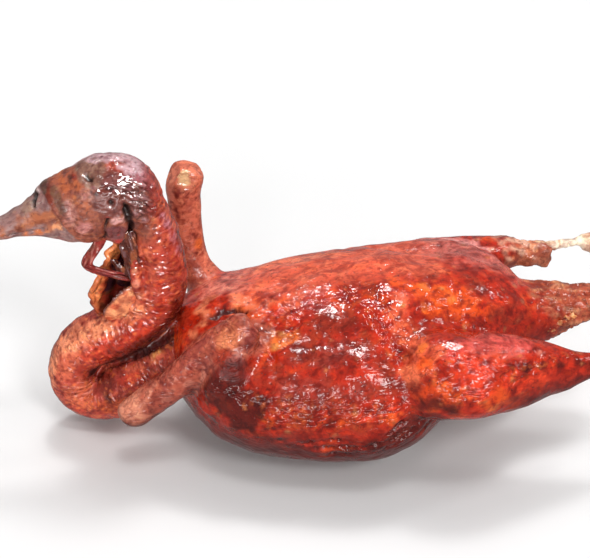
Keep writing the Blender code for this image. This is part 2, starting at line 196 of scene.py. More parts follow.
def between_rings(count, around, first=0):
    """Quads between neighbouring rings of a grid whose columns close on themselves."""
    i, j = np.meshgrid(np.arange(count - 1), np.arange(around), indexing="ij")
    k = (j + 1) % around
    corners = [i * around + j, (i + 1) * around + j, (i + 1) * around + k, i * around + k]
    return np.stack(corners, axis=2).reshape(-1, 4) + first


def taken_from(items, field, each=1, kind=float):
    """A field of a mesh's items as an array, in rows of as many values as each item has."""
    values = np.empty(len(items) * each, kind)
    items.foreach_get(field, values)
    return values.reshape(-1, each)


def grown_together(cell, grids):
    """Points and quads of one even skin, its faces as wide as a cell, round all the closed grids together."""
    points, faces, first = [], [], 0
    for grid in grids:
        count, around = grid.shape[:2]
        faces += between_rings(count, around, first).tolist()
        faces.append(list(range(first, first + around)))
        faces.append(list(range(first + count * around - 1, first + (count - 1) * around - 1, -1)))
        points.append(grid.reshape(-1, 3))
        first += count * around
    mesh = bpy.data.meshes.new("rough")
    mesh.from_pydata(np.vstack(points), [], faces)
    rough = bpy.data.objects.new("rough", mesh)
    bpy.context.scene.collection.objects.link(rough)
    grown = rough.modifiers.new("grown", "REMESH")
    grown.mode = "VOXEL"
    grown.voxel_size = cell
    skin = rough.evaluated_get(bpy.context.evaluated_depsgraph_get()).data
    points = taken_from(skin.vertices, "co", 3)
    corners = taken_from(skin.loops, "vertex_index", kind=int)
    bpy.data.objects.remove(rough, do_unlink=True)
    bpy.data.meshes.remove(mesh)
    return points, corners.reshape(-1, 4)


def relaxed(points, quads, rounds):
    """Each round moves every point to the mean of the points that share an edge with it."""
    start, end, count = quads.ravel(), np.roll(quads, -1, axis=1).ravel(), len(points)
    links = np.bincount(start, minlength=count) + np.bincount(end, minlength=count)
    for _ in range(rounds):
        total = [np.bincount(start, co[end], count) + np.bincount(end, co[start], count) for co in points.T]
        points = np.stack(total, axis=1) / links[:, None]
    return points


def facing(points, quads):
    """Outward unit directions: at each point, the sum of the cross products of its faces' diagonals."""
    a, b, c, d = (points[quads[:, i]] for i in range(4))
    flat = np.cross(c - a, d - b)
    total = [np.bincount(quads.ravel(), np.repeat(flat[:, axis], 4), len(points)) for axis in range(3)]
    out = np.stack(total, axis=1)
    return out / np.maximum(np.linalg.norm(out, axis=1, keepdims=True), 1e-9)


def skin_over(cell, rounds, grids):
    """Points, quads and outward directions of one relaxed skin round all the closed grids."""
    points, quads = grown_together(cell, grids)
    points = relaxed(points, quads, rounds)
    return points, quads, facing(points, quads)


def ripples(points, size, seed, waves=36):
    """A smooth random field of spread one: cosine waves about size long in random directions, added up."""
    rng = np.random.default_rng(seed)
    way = rng.normal(size=(waves, 3))
    way /= np.linalg.norm(way, axis=1, keepdims=True)
    way *= 2 * math.pi / (size * rng.uniform(0.7, 1.4, (waves, 1)))
    phase = rng.uniform(0, 2 * math.pi, waves)
    return np.cos(points @ way.T + phase).sum(axis=1) * math.sqrt(2 / waves)


def gap_to(points, line):
    """How far each point lies from a curve through the line's points."""
    samples = through(line, 5)
    return np.sqrt(np.min([((points - sample) ** 2).sum(axis=1) for sample in samples], axis=0))


def pressed(points, out, folds, wander=0.06, sideways=1.0):
    """Points moved inwards by depth * exp(-(gap / width)^2) at each fold, whose line wanders a little.

    The part of a gap that lies along Y counts only by the share given as sideways.
    """
    counted = np.array([1.0, sideways, 1.0])
    astray = points + wander * np.stack([ripples(points, 0.9, seed) for seed in (1, 2, 3)], axis=1)
    depth = np.zeros(len(points))
    for width, deep, line in folds:
        depth += deep * np.exp(-((gap_to(astray * counted, np.array(line) * counted) / width) ** 2))
    return points - out * depth[:, None], depth


def spots(points, places, sideways=1.0):
    """How strongly each point lies in some spots: exp(-(distance / size)^2), added up.

    The part of a distance that lies along Y counts only by the share given as sideways.
    """
    counted = np.array([1.0, sideways, 1.0])
    return sum(np.exp(-(((points - place) * counted) ** 2).sum(axis=1) / size**2) for *place, size in places)


def thickness_out(points, stations):
    """How many of a part's own radii each point lies from the part's middle line."""
    table = through(stations, 5)
    girth = table[:, 3:].mean(axis=1)
    return np.min([np.linalg.norm(points - row[:3], axis=1) / r for row, r in zip(table, girth)], axis=0)


def step(value, start, end):
    """Smoothly 0 before start and 1 after end."""
    share = np.clip((value - start) / (end - start), 0, 1)
    return share * share * (3 - 2 * share)


def layered(colour, *layers):
    """A colour with others laid over it in turn, each with its own share at every point."""
    for other, share in layers:
        share = np.clip(share, 0, 1)[:, None]
        colour = np.array(colour) * (1 - share) + np.array(other) * share
    return colour


def washes(points, table, patchy, start, end, sideways=1.0):
    """The layers of a table of colours, each as strong as its spots are, with patchy edges."""
    return [
        (colour, strength * step(spots(points, places, sideways) + patchy, start, end))
        for colour, strength, places in table
    ]


def kept_in_the_box(points):
    """The points in metres in the frame, held inside the solid's box, which flattens the back."""
    lowest = np.array(solid_box[0]) + [1e-4, 1e-4, 0.0]
    highest = np.array(solid_box[1]) - 1e-4
    return np.clip((points + MIDDLE_OF_BACK) * CM, lowest, highest)


def piece(name, points, faces, material, slot, **painted):
    """A smooth-shaded piece that rides on the duck; the painted fields become attributes of its points."""
    mesh = bpy.data.meshes.new(name)
    mesh.from_pydata(kept_in_the_box(points), [], faces.tolist() if isinstance(faces, np.ndarray) else faces)
    for field, values in painted.items():
        values = np.clip(values, 0, 1)
        if values.ndim == 2:
            made = mesh.attributes.new(field, "FLOAT_COLOR", "POINT")
            made.data.foreach_set("color", np.column_stack([values, np.ones(len(points))]).ravel())
        else:
            made = mesh.attributes.new(field, "FLOAT", "POINT")
            made.data.foreach_set("value", np.broadcast_to(values, len(points)))
    mesh.polygons.foreach_set("use_smooth", np.ones(len(mesh.polygons), bool))
    mesh.materials.append(material)
    made = bpy.data.objects.new(name, mesh)
    bpy.context.scene.collection.objects.link(made)
    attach(made, "root")
    return made


HOOPED_SPAN = 60.0  # centimetres along the neck that the hoops' field spans from 0 to 1
HALF_HOOPS = 267.0  # how many half hoops lie in that span
# What the paint is multiplied by where it is mottled, and in its creases as painted shade, and the colour of
# its burnt specks.
DEEPER = (0.46, 0.30, 0.32, 1.0)
BRIGHTER = (1.25, 1.6, 1.5, 1.0)
PAINTED_CREASE_SHADE = (0.42, 0.30, 0.32, 1.0)
BURNT_SPECKS = (0.06, 0.014, 0.010, 1.0)


def glazed_skin(name, pucker, relief=0.0018, stretch=1.0, turn=0.0):
    """Roast skin: its painted colour mottled at three scales and darkened as painted shade in its creases and
    in the troughs of the neck's hoops, glazed where it isn't dull, and creased.

    The relief is fine grain plus creases |noise - 1/2|, drawn out along X, or along a way turned from X
    where the skin is gathered, plus the neck's hoops, a triangle wave broken up by noise. Shrivelled skin is
    creased deeper, and the dullest folds have no sheen at all.
    """
    material = bpy.data.materials.new(name)
    material.use_nodes = True
    nodes, links = material.node_tree.nodes, material.node_tree.links

    def fed(made, inputs):
        for socket, value in inputs.items():
            if isinstance(value, bpy.types.NodeSocket):
                links.new(value, made.inputs[socket])
            else:
                made.inputs[socket].default_value = value

    def node(kind, output, inputs, **settings):
        made = nodes.new("ShaderNode" + kind)
        for setting, value in settings.items():
            setattr(made, setting, value)
        fed(made, inputs)
        return made.outputs[output]

    place = node("TexCoord", "Object", {})

    def attribute(field, output="Fac"):
        return node("Attribute", output, {}, attribute_name=field)

    def noise(scale, detail, distortion=0.0, at=place):
        grain = {"Scale": scale, "Detail": detail, "Distortion": distortion, "Vector": at}
        return node("TexNoise", "Fac", grain)

    def remap(value, low, high, to_low, to_high):
        ends = {"From Min": low, "From Max": high, "To Min": to_low, "To Max": to_high}
        return node("MapRange", "Result", {"Value": value, **ends})

    def blended(kind, share, first, second):
        return node("Mix", 2, {0: share, 6: first, 7: second}, data_type="RGBA", blend_type=kind)

    def worked(kind, *values):
        return node("Math", 0, dict(enumerate(values)), operation=kind)

    def creases(angle):
        drawn = {"Vector": place, "Rotation": (0.0, 0.0, angle), "Scale": (stretch, 1.0, 1.0)}
        wavy = noise(190.0, 1.0, 0.5, node("Mapping", "Vector", drawn, vector_type="TEXTURE"))
        return worked("ABSOLUTE", worked("SUBTRACT", wavy, 0.5))

    paint = attribute("paint", "Color")
    dull, shrivelled = attribute("dull"), attribute("shrivelled")
    hooped = attribute("hooped")
    hoop = worked("PINGPONG", worked("MULTIPLY", attribute("hoops"), HALF_HOOPS), 1.0)
    crease = blended("MIX", attribute("gathered"), creases(0.0), creases(turn))

    deeper = blended("MULTIPLY", 1.0, paint, DEEPER)
    brighter = blended("MULTIPLY", 1.0, paint, BRIGHTER)
    mottled = blended("MIX", remap(noise(95.0, 6.0, 0.8), 0.47, 0.62, 0.0, 0.8), paint, deeper)
    mottled = blended("MIX", remap(noise(170.0, 4.0, 0.6), 0.56, 0.66, 0.0, 0.6), mottled, brighter)
    mottled = blended("MIX", remap(noise(300.0, 3.0, 0.6), 0.54, 0.62, 0.0, 0.5), mottled, deeper)
    # painted shade: darker in the valleys of the creases and in the troughs of the hoops
    shade_in_creases = remap(crease, 0.0, 0.045, 0.75, 0.0)
    shade_in_creases = worked("MULTIPLY", shade_in_creases, worked("MULTIPLY_ADD", shrivelled, 0.6, 0.3))
    shade_in_creases = worked("MAXIMUM", shade_in_creases, worked("MULTIPLY", hooped, remap(hoop, 0.0, 0.3, 0.25, 0.0)))
    mottled = blended("MIX", shade_in_creases, mottled, blended("MULTIPLY", 1.0, mottled, PAINTED_CREASE_SHADE))
    specks = remap(noise(460.0, 2.0), 0.68, 0.73, 0.0, 0.6)

    deep = worked("MULTIPLY", crease, worked("MULTIPLY_ADD", shrivelled, 1.6, 0.3))
    fine = worked("MULTIPLY", noise(250.0, 1.0, 0.4), worked("MULTIPLY_ADD", shrivelled, 0.25, 0.22))
    lesser = worked("MULTIPLY", worked("ADD", deep, fine), worked("MULTIPLY_ADD", hooped, -0.5, 1.0))
    broken = worked("MULTIPLY", hooped, remap(noise(170.0, 1.0, 0.4), 0.42, 0.56, 0.25, 1.0))
    height = worked("MULTIPLY_ADD", worked("MULTIPLY", hoop, broken), 0.68, lesser)

    fed(nodes["Principled BSDF"], {
        "Base Color": blended("MIX", specks, mottled, BURNT_SPECKS),
        "Roughness": worked("MULTIPLY_ADD", dull, 0.34, remap(noise(150.0, 3.0), 0.3, 0.7, 0.07, 0.15)),
        "Specular IOR Level": remap(dull, 0.85, 1.15, 0.45, 0.0),
        "Subsurface Weight": 0.08,
        "Subsurface Radius": (1.0, 0.25, 0.1),
        "Subsurface Scale": 0.003,
        "Normal": node("Bump", "Normal", {"Strength": pucker, "Distance": relief, "Height": height}),
    })
    return material


def along(points, lines):
    """How strongly each point lies on some bands: exp(-(gap / width)^2) of each, added up, at most one."""
    return np.clip(sum(np.exp(-((gap_to(points, line) / width) ** 2)) for width, line in lines), 0, 1)


def drawn_out(points, way, share):
    """Points squeezed along a direction, so that ripples worked out on them run long that way."""
    way = np.array(way) / np.linalg.norm(way)
    return points - share * (points @ way)[:, None] * way


RED_GLAZE = (0.48, 0.022, 0.006)
BRIGHT_RED = (0.74, 0.046, 0.012)
# a dark glaze, and also the painted shade under the wing, on the underside, in the folds and in the creases
DARK_GLAZE_AND_SHADE = (0.09, 0.006, 0.004)
BROWNED = (0.30, 0.026, 0.011)
ORANGE_FAT = (0.80, 0.085, 0.010)
AMBER_FAT = (0.85, 0.17, 0.03)
YELLOW_FAT = (0.80, 0.32, 0.09)
PINK_SKIN_AND_SHEEN = (0.64, 0.105, 0.075)
PALE_PINK_AND_SHEEN = (0.74, 0.21, 0.15)
ROSY_ORANGE = (0.90, 0.24, 0.12)
GREY_SKIN = (0.30, 0.032, 0.020)
PAINTED_TOP_LIGHT = (0.95, 0.170, 0.085)
DIMPLE_RED = (0.34, 0.030, 0.022)
WING_SKIN = (0.46, 0.095, 0.055)
WING_MAUVE = (0.27, 0.045, 0.034)
WING_PALE = (0.70, 0.25, 0.175)
WING_RED = (0.33, 0.026, 0.010)
WING_TIP = (0.80, 0.30, 0.18)
ELBOW_SKIN = (0.70, 0.20, 0.09)
FAR_WING_SKIN = (0.72, 0.180, 0.105)
FAR_WING_DARK = (0.16, 0.016, 0.018)
JOINT_CREAM = (0.92, 0.56, 0.28)
JOINT_ORANGE = (0.80, 0.22, 0.12)
TAIL_SKIN = (0.46, 0.095, 0.045)
TAIL_FAT = (0.74, 0.30, 0.15)
LEG_MEAT = (0.66, 0.20, 0.10)
LEG_TENDON = (0.80, 0.42, 0.29)
# burnt black, and also the painted shade in the pressed folds of the head and neck
CHAR_AND_FOLD_SHADE = (0.03, 0.010, 0.008)
SIDE_SHADE_BLACK = (0.0, 0.0, 0.0)

PUCKERED_BANDS = [
    (0.55, [(-1.5, -0.8, 11), (-0.9, -2.5, 10.8), (-0.1, -3.9, 10.4), (0.6, -5, 9.7), (1, -5.9, 9.3)]),
    (0.5, [(0, -1.6, 11), (0.8, -3, 10.8), (1.5, -4.1, 10), (1.6, -5, 9.7), (1.8, -6.2, 9.6)]),
    (0.5, [(-5.9, -0.2, 10.3), (-5.5, -0.9, 10.4), (-5, -1.6, 10.4), (-4.6, -2.2, 10.3)]),
    (0.5, [(-6.7, -2.1, 9.8), (-6.2, -2.2, 9.9), (-5.6, -2, 10.1), (-5.1, -2.6, 10.1), (-4.8, -3, 10)]),
    (0.5, [(-7.2, -4.2, 9.3), (-6.6, -3.6, 9.1), (-6.1, -3.8, 9.1), (-5.2, -3.4, 9.7)]),
    (0.45, [(3.1, -6.8, 10), (4.4, -7.5, 9.8), (5.9, -7.9, 9.4), (7.2, -8, 8.7), (8, -7.8, 8.6)]),
    (0.35, [(7.5, -7.5, 9.2), (8.5, -7.4, 8.9), (9.5, -7, 8.8), (10.5, -6.5, 8.7), (11.6, -5.8, 8.4)]),
    (0.6, [(2.4, -7.6, 9.2), (3.1, -8.3, 8.6), (3.9, -8.8, 7.9), (5.2, -8.7, 8.1)]),
    (0.4, [(-9.2, -4.9, 9.5), (-9, -5.1, 8.9), (-8.8, -5.2, 8.3), (-8.7, -5.5, 7.7)]),
    (0.55, [(-9.9, -5, 7.6), (-8.2, -5.8, 7.1), (-6.5, -6.5, 6.9), (-4.8, -7, 6.9), (-2.8, -7.5, 7.1)]),
    (0.7, [(-7, -6.4, 5.8), (-5.2, -7.2, 6.2), (-3.4, -7.7, 6.2), (-1.6, -8, 6.6), (0.4, -8, 6.8)]),
    (0.7, [(-2.6, -7.5, 4.1), (-0.6, -7.7, 4.4), (0.8, -7.8, 4.9), (2.4, -7.6, 5.8)]),
    (0.8, [(-2, 4.8, 10), (-0.6, 6.2, 9.2), (0.8, 7.4, 8.4)]),
    (0.8, [(2.4, 6.8, 9), (4.4, 8, 7.8), (6.4, 7.8, 7.8)]),
]
GATHERED_BANDS = PUCKERED_BANDS[:3]
WAY_OF_THE_GATHERS = (2.9, -4.6, -1.1)

THIGH_ROSE_HIGHLIGHT = (0.72, 0.085, 0.065)
BREAST_ORANGE = (0.86, 0.14, 0.06)
COLLAR_ORANGE = (0.96, 0.2, 0.085)
FLANK_ROSE_AND_SHEEN = (0.95, 0.37, 0.33)
BELLY_MAUVE = (0.62, 0.15, 0.12)
SIDE_RED = (0.34, 0.03, 0.012)
COLLAR_FAT = (0.74, 0.2, 0.09)
UNDER_ELBOW_SHADE = (0.17, 0.01, 0.005)
SIDE_ORANGE = (0.92, 0.19, 0.08)
COLLAR_GLOW = (1, 0.25, 0.11)
WASHES = [  # a colour, its strength and the places it lies on: x, y, z and size of each
    # partly the skin's own pink, partly painted sheen on the far slopes and the top of the near thigh
    (PINK_SKIN_AND_SHEEN, 0.8, [
        (-9.3, 3.6, 8.9, 2.2), (-7.4, 3.4, 9.4, 2.4), (-4.6, 4.6, 9.5, 2.2), (4.2, 3.4, 10.3, 2.4),
        (7.2, 2.8, 9.8, 2.2), (9.6, 1.4, 9.6, 1.4), (7.4, -6.2, 9.8, 1.4), (5.4, -6.4, 10.2, 1.1),
    ]),
    # pale pink, mostly painted sheen along the far upper edges, partly the skin's pink
    (PALE_PINK_AND_SHEEN, 0.8, [
        (-10, 4, 8.6, 1.2), (-8.6, 2.8, 9.4, 1), (-7, 4, 9.2, 1.2), (-9.6, 1.6, 9.2, 0.8),
        (-7.8, 1.4, 9.8, 0.8), (2.2, 4.6, 10, 0.9), (5, 4.8, 9.8, 0.6), (7.4, 4.6, 9.4, 0.6),
        (9.2, -6.4, 9.2, 0.4),
    ]),
    (ROSY_ORANGE, 0.85, [
        (-5.6, 4.2, 9.5, 1.1), (-4, 4.2, 9.9, 1.1), (-2.6, 4, 10.2, 1), (-1.4, 3.8, 10.4, 0.8),
        (-6.4, 1.2, 10.1, 0.6),
    ]),
    # painted highlight along the top of the near thigh, over its own rose colour
    (THIGH_ROSE_HIGHLIGHT, 0.85, [
        (5.6, -6.4, 10.3, 0.8), (7.2, -6.3, 9.9, 0.9), (8.4, -6.3, 9.5, 0.7), (3.4, -6.9, 9.9, 0.5),
        (4.4, -6.6, 10.2, 0.6),
    ]),
    (BREAST_ORANGE, 0.8, [
        (-5.6, 0.6, 10.4, 0.7), (-7.6, -0.4, 9.9, 0.7), (-5.2, -1.4, 10.3, 0.7), (-2.6, 2.4, 10.8, 0.8),
        (0.6, 2.2, 11, 0.8), (2.6, 0.4, 11.2, 0.7), (4.4, 0.4, 11, 0.7), (2, -6.4, 9.7, 0.7),
        (3.2, -6.6, 9.9, 0.6), (1.6, -2.2, 11, 0.6), (1.3, -3.4, 10.8, 0.8), (1.4, -4.6, 10.2, 0.8),
        (2, -5.4, 10, 0.8), (1.6, -6.6, 9.2, 0.8), (2.4, -7.2, 9, 0.7), (-6.8, -1.6, 10, 0.6),
        (-8.4, -0.6, 9.7, 0.6), (-4.4, -0.6, 10.6, 0.7),
    ]),
    (COLLAR_ORANGE, 0.85, [
        (-8, 0.6, 9.9, 0.8), (-7, -0.4, 10, 0.7), (-6, -1, 10.1, 0.6), (-4, 1.4, 10.7, 0.7),
        (-7.6, -1.6, 9.9, 0.5),
    ]),
    # pale rose along the far flank: partly its own colour, partly painted sheen
    (FLANK_ROSE_AND_SHEEN, 0.8, [
        (-3.5, 5.4, 9, 0.8), (-1.5, 5.8, 9.2, 0.9), (0.5, 6, 9.2, 0.9), (2.5, 6.2, 9.2, 0.9),
        (4.2, 6.2, 9.2, 0.9), (6, 5.7, 9.4, 0.9), (7.4, 5, 9.6, 0.9), (8.4, 4.5, 9.4, 0.7),
    ]),
    (BELLY_MAUVE, 0.75, [
        (4.4, 3.2, 10.5, 1.2), (6, 3.2, 10.3, 1.3), (7.4, 2.8, 10, 1.2), (8.8, 2.4, 9.5, 1.1),
        (3, 3.8, 10.4, 1), (5.4, 4.6, 9.9, 1),
    ]),
    (BRIGHT_RED, 0.95, [
        (-0.8, 1.9, 11, 0.9), (0.5, 1.5, 11.1, 0.8), (-0.3, 0.9, 11.1, 0.7), (1, -0.2, 11.3, 0.8),
        (-2.2, 0.8, 10.9, 0.6), (4.4, -7.5, 9.4, 1), (6, -8, 8.8, 1.1), (7.6, -7.8, 8.2, 0.9),
        (5, -8.6, 8, 0.9), (9.2, -7.2, 8.2, 0.8), (8, -1.9, 9.8, 0.7), (-5.8, -1.4, 10.1, 0.6),
        (-3.6, -7.4, 6.6, 0.6), (-1.4, -7.9, 6.6, 0.7), (0.4, -8, 6.8, 0.6), (-4.6, 0.4, 10.6, 0.7),
        (-6.6, 0.2, 10.1, 0.8), (-0.6, -6.8, 8.6, 0.6), (0.6, -7, 8.4, 0.6), (3, -2.4, 10.8, 0.6),
    ]),
    (ORANGE_FAT, 0.95, [
        (4.5, -2.3, 10.6, 1.3), (2.9, -1.7, 11, 0.9), (1.4, -0.9, 11.2, 0.7), (5.9, -2.4, 10.2, 0.9),
        (-7.5, -0.6, 9.9, 0.8), (-6.8, -1.3, 10, 0.7), (2, -7, 9.4, 0.7), (3.4, -8.3, 8.2, 0.9),
        (6.4, -8.4, 7.4, 1), (-0.2, 1.3, 11.1, 0.6), (-5, -7.1, 6.2, 0.5), (3.3, -3, 10.3, 0.5),
        (-2.6, -7.8, 6.3, 0.5), (0.2, -8.1, 6.3, 0.6), (2.6, -7.8, 6.9, 0.7), (-5.2, -1, 10.4, 0.5),
        (-6.2, 1.6, 10, 0.6), (-3.2, 2.2, 10.8, 0.8), (-6.8, -6.7, 5.9, 0.5), (-5.2, -7.2, 6, 0.5),
        (-7.2, 0.4, 10, 0.6), (-3, 5.5, 9.3, 1.2), (1.5, 7.5, 7.2, 1.3), (6, 7.5, 7.4, 1.1),
        (-5.5, 6.8, 5.5, 1.2),
    ]),
    (AMBER_FAT, 0.9, [
        (4.7, -2.2, 10.7, 0.5), (3.4, -1.3, 11, 0.5), (2.2, -6, 9.9, 0.5), (-7.9, -0.4, 9.8, 0.4),
        (6, -8.5, 7, 0.5), (-9, 4.2, 8.6, 0.5), (3, -2.8, 10.6, 0.4),
    ]),
    (BROWNED, 0.9, [
        (-8.6, -5.2, 8.6, 0.6), (-8.1, -5, 9, 0.45), (-7.4, -5.2, 8.6, 0.5), (-3, -7.2, 8, 0.8),
        (-1.2, -7.3, 8.2, 0.8), (0.4, -7.3, 8.2, 0.8), (1.6, -7.4, 8.2, 0.6), (0, -6.4, 8.9, 0.7),
        (-5.2, -4.8, 9, 0.6), (-3.8, 0.1, 10.7, 0.7), (-3.2, -3.3, 10.1, 1.1), (-1.8, -3.2, 10.4, 0.8),
        (2.6, -4.6, 10.2, 0.7), (3.8, -0.2, 11.1, 0.7), (6.4, -0.9, 10.6, 0.7), (8, -2.6, 9.4, 1),
        (-1, -5.2, 9.6, 0.8), (-4.6, -4, 9.6, 0.7), (9.6, -2.2, 8.8, 0.8), (6.9, -1.4, 10.4, 0.5),
        (-4, -5.2, 9.1, 0.9), (-6.2, -5.4, 8.2, 0.7),
    ]),
    (SIDE_RED, 0.7, [
        (-6.6, -6.5, 6.9, 0.9), (-4.8, -7, 6.9, 0.9), (-2.8, -7.5, 7.1, 0.9), (-0.5, -7.6, 7.5, 0.7),
        (-5.2, -7.2, 5.6, 0.9), (-1.7, -8, 5.9, 0.8),
    ]),
    (GREY_SKIN, 0.85, [
        (-5.2, -6.2, 7.9, 0.9), (-3.8, -6.8, 7.8, 0.9), (-6, -5.9, 7.2, 0.8), (-1.6, -7, 7.8, 0.6),
        (-3.4, -5.4, 9.1, 0.9), (-2.2, -5, 9.6, 0.9),
    ]),
    (COLLAR_FAT, 0.85, [
        (-10.2, 0.3, 9.4, 0.6), (-9.9, -0.8, 9.3, 0.5), (-10.8, -1.4, 8.7, 0.5), (-9.6, 1.2, 9.4, 0.5),
    ]),
    (DIMPLE_RED, 0.9, [(4.7, -5.1, 10.2, 0.45), (5.3, -5.1, 10.2, 0.45), (6.2, -5.1, 10.1, 0.35)]),
    (AMBER_FAT, 0.85, [
        (-7.4, -4.2, 9.9, 0.5), (-6.6, -3.4, 9.4, 0.6), (-5.8, -3.6, 9.4, 0.6), (-5.1, -3.5, 9.7, 0.4),
    ]),
    # painted shade under the near wing, low on the near side and along the bottom of the near thigh
    (DARK_GLAZE_AND_SHADE, 0.9, [
        (-9.8, -5.1, 7, 1.2), (-8.8, -5.7, 6.4, 1.1), (-8, -6, 6.8, 0.8), (-8.2, -6, 5.4, 1),
        (-7.2, -6.3, 6.9, 0.5), (-9.5, -4.9, 8.2, 0.8), (-8.6, -5.2, 8.6, 0.7), (-9.8, -4.9, 7.4, 0.8),
        (2.6, -8.3, 7.6, 0.6), (1.8, -8.2, 7, 0.6), (3.6, -8.4, 7, 0.6), (-10.2, -4.2, 8.6, 0.8),
        (7.2, -7.6, 9.2, 0.4), (8.2, -7.5, 8.8, 0.45), (9.3, -7.1, 8.5, 0.5), (10.4, -6.7, 8.2, 0.5),
        (11.6, -6.3, 7.9, 0.5),
    ]),
    # painted shade under the near elbow
    (UNDER_ELBOW_SHADE, 0.8, [
        (-9, -5.1, 8.9, 0.7), (-8.8, -5.2, 8.3, 0.7), (-9.4, -5, 8.4, 0.6), (-9, -4.9, 9.4, 0.5),
    ]),
    (SIDE_ORANGE, 0.7, [(1.4, -7.1, 8.7, 0.7), (1, -6.7, 9.1, 0.5)]),
    (COLLAR_GLOW, 0.65, [(-7.8, 0.3, 9.9, 0.7), (-7.2, -0.7, 9.9, 0.5)]),
    (DARK_GLAZE_AND_SHADE, 0.8, [(12.4, -6, 7.6, 0.6), (13, -5.8, 7.4, 0.5)]),
    (YELLOW_FAT, 0.95, [(-6.4, -3, 9.6, 0.35), (-5.7, -3.2, 9.7, 0.33), (-6.2, -3.8, 9.1, 0.33)]),
]

carcass_parts = [ovals(stations) for stations in (TORSO, FAR_FLANK, NEAR_LEG, FAR_LEG)]
carcass_parts += [carried(arm) for arm in (NEAR_UPPER_ARM, NEAR_FOREARM, FAR_UPPER_ARM, FAR_FOREARM)]
carcass_parts += [egg(*lump) for lump in LEG_LUMPS]
points, quads, out = skin_over(SKIN_CELL, 8, carcass_parts)
on_stump = (points[:, 2] > 12.5) & (points[:, 1] > 3.0)
for facet, far in FAR_WING_CUTS:
    facet = np.array(facet) / np.linalg.norm(facet)
    points -= np.outer(np.clip((points - CUT_JOINT) @ facet - far, 0, None) * on_stump, facet)
out = facing(points, quads)

on_near_wing = 1 - step(thickness_out(points, NEAR_FOREARM), 1.15, 1.5)
on_far_wing = 1 - step(thickness_out(points, FAR_FOREARM), 1.15, 1.6)
puckered = along(points, PUCKERED_BANDS)
gathered = along(points, GATHERED_BANDS)
grain = ripples(points, 0.8, 21)
fleck = ripples(points, 0.42, 24)
tail = step(points[:, 0] - 0.35 * np.abs(points[:, 1] - 0.8) + 0.5 * grain, 9.0, 11.5)
tail *= step(2.6 - np.abs(points[:, 1] - 0.8), 0.0, 0.6)
leg_end = step(points[:, 0] + 0.5 * grain, 9.2, 11.2) * step(points[:, 1], 3.6, 4.4)

points, _ = pressed(points, out, BODY_HOLLOWS)
points, fold_depth = pressed(points, out, BODY_FOLDS)
for *spot, depth in SUNK_SPOTS:
    points -= out * (depth * spots(points, [spot]))[:, None]
lengthwise = np.abs(ripples(drawn_out(points, (1, 0, 0), 0.65), 0.62, 13))
across_it = np.abs(ripples(drawn_out(points, WAY_OF_THE_GATHERS, 0.72), 0.50, 14))
crease = lengthwise * (1 - gathered) + across_it * gathered
lumpy = 0.034 * ripples(points, 2.8, 11) + 0.012 * ripples(points, 1.2, 12)
streaky = ripples(drawn_out(points, (1, 0, -0.3), 0.75), 0.50, 15)
ragged = (tail + 0.7 * leg_end) * (0.060 * streaky + 0.025 * fleck - 0.03)
depth = (0.008 + 0.032 * puckered) * (crease - 0.8)
points += out * (lumpy - 0.05 + depth + ragged)[:, None]
out = facing(points, quads)

x, y, z = points.T
up = out[:, 2]
mauve = 0.8 * step(fleck + 0.8 * ripples(drawn_out(points, (-3.4, 0.2, -3.4), 0.7), 0.9, 25), 0.4, 1.3)
leg_side = step(thickness_out(points, NEAR_LEG), 1.15, 1.4) * step(x, 2.6, 4.0)
# painted light: the breast is paler where it faces up, as if lit from above
lit_from_above = step(up, 0.78, 0.96) * step(6.0 - x, 0.0, 3.0) * step(x, -8.5, -6.0) * step(y, -1.4, 0.8)
# painted shade: how much the skin faces down, less so beside the near leg
shade_underneath = step(-up, -0.15, 0.5) * (1 - 0.4 * leg_side)
wing = layered(
    WING_SKIN,
    (WING_PALE, 0.5 * step(grain - 0.3 * fleck, 0.3, 1.3)),
    (WING_MAUVE, mauve),
    (ELBOW_SKIN, step(spots(points, ELBOW) + 0.15 * fleck, 0.2, 0.9)),
    (WING_RED, 0.9 * step(spots(points, FOREARM_RED) + 0.15 * grain, 0.3, 0.9)),
    (WING_MAUVE, step(spots(points, ELBOW_END) + 0.15 * fleck, 0.3, 0.9)),
    (WING_TIP, 0.8 * step(-x + 0.3 * grain, 13.2, 14.6)),
    # painted shade on the downward side of the end of the near forearm
    (DARK_GLAZE_AND_SHADE, 0.75 * step(-up, 0.0, 0.6) * step(x, -13.5, -11.0)),
)
far_wing = layered(
    FAR_WING_SKIN,
    (JOINT_ORANGE, 0.6 * step(fleck - 0.5 * grain, 0.2, 1.2)),
    # darker spots along the edges of the far wing
    (FAR_WING_DARK, 0.85 * step(1.3 * spots(points, FAR_WING_DARK_SPOTS) + 0.3 * fleck, 0.3, 0.9)),
    (JOINT_ORANGE, 0.75 * step(z + 0.25 * fleck, 14.8, 15.4)),
    (AMBER_FAT, 0.8 * step(spots(points, FAR_WING_FAT), 0.3, 0.8)),
    (JOINT_CREAM, 0.95 * step(spots(points, CUT_BONE) + 0.1 * fleck, 0.4, 0.8)),
)
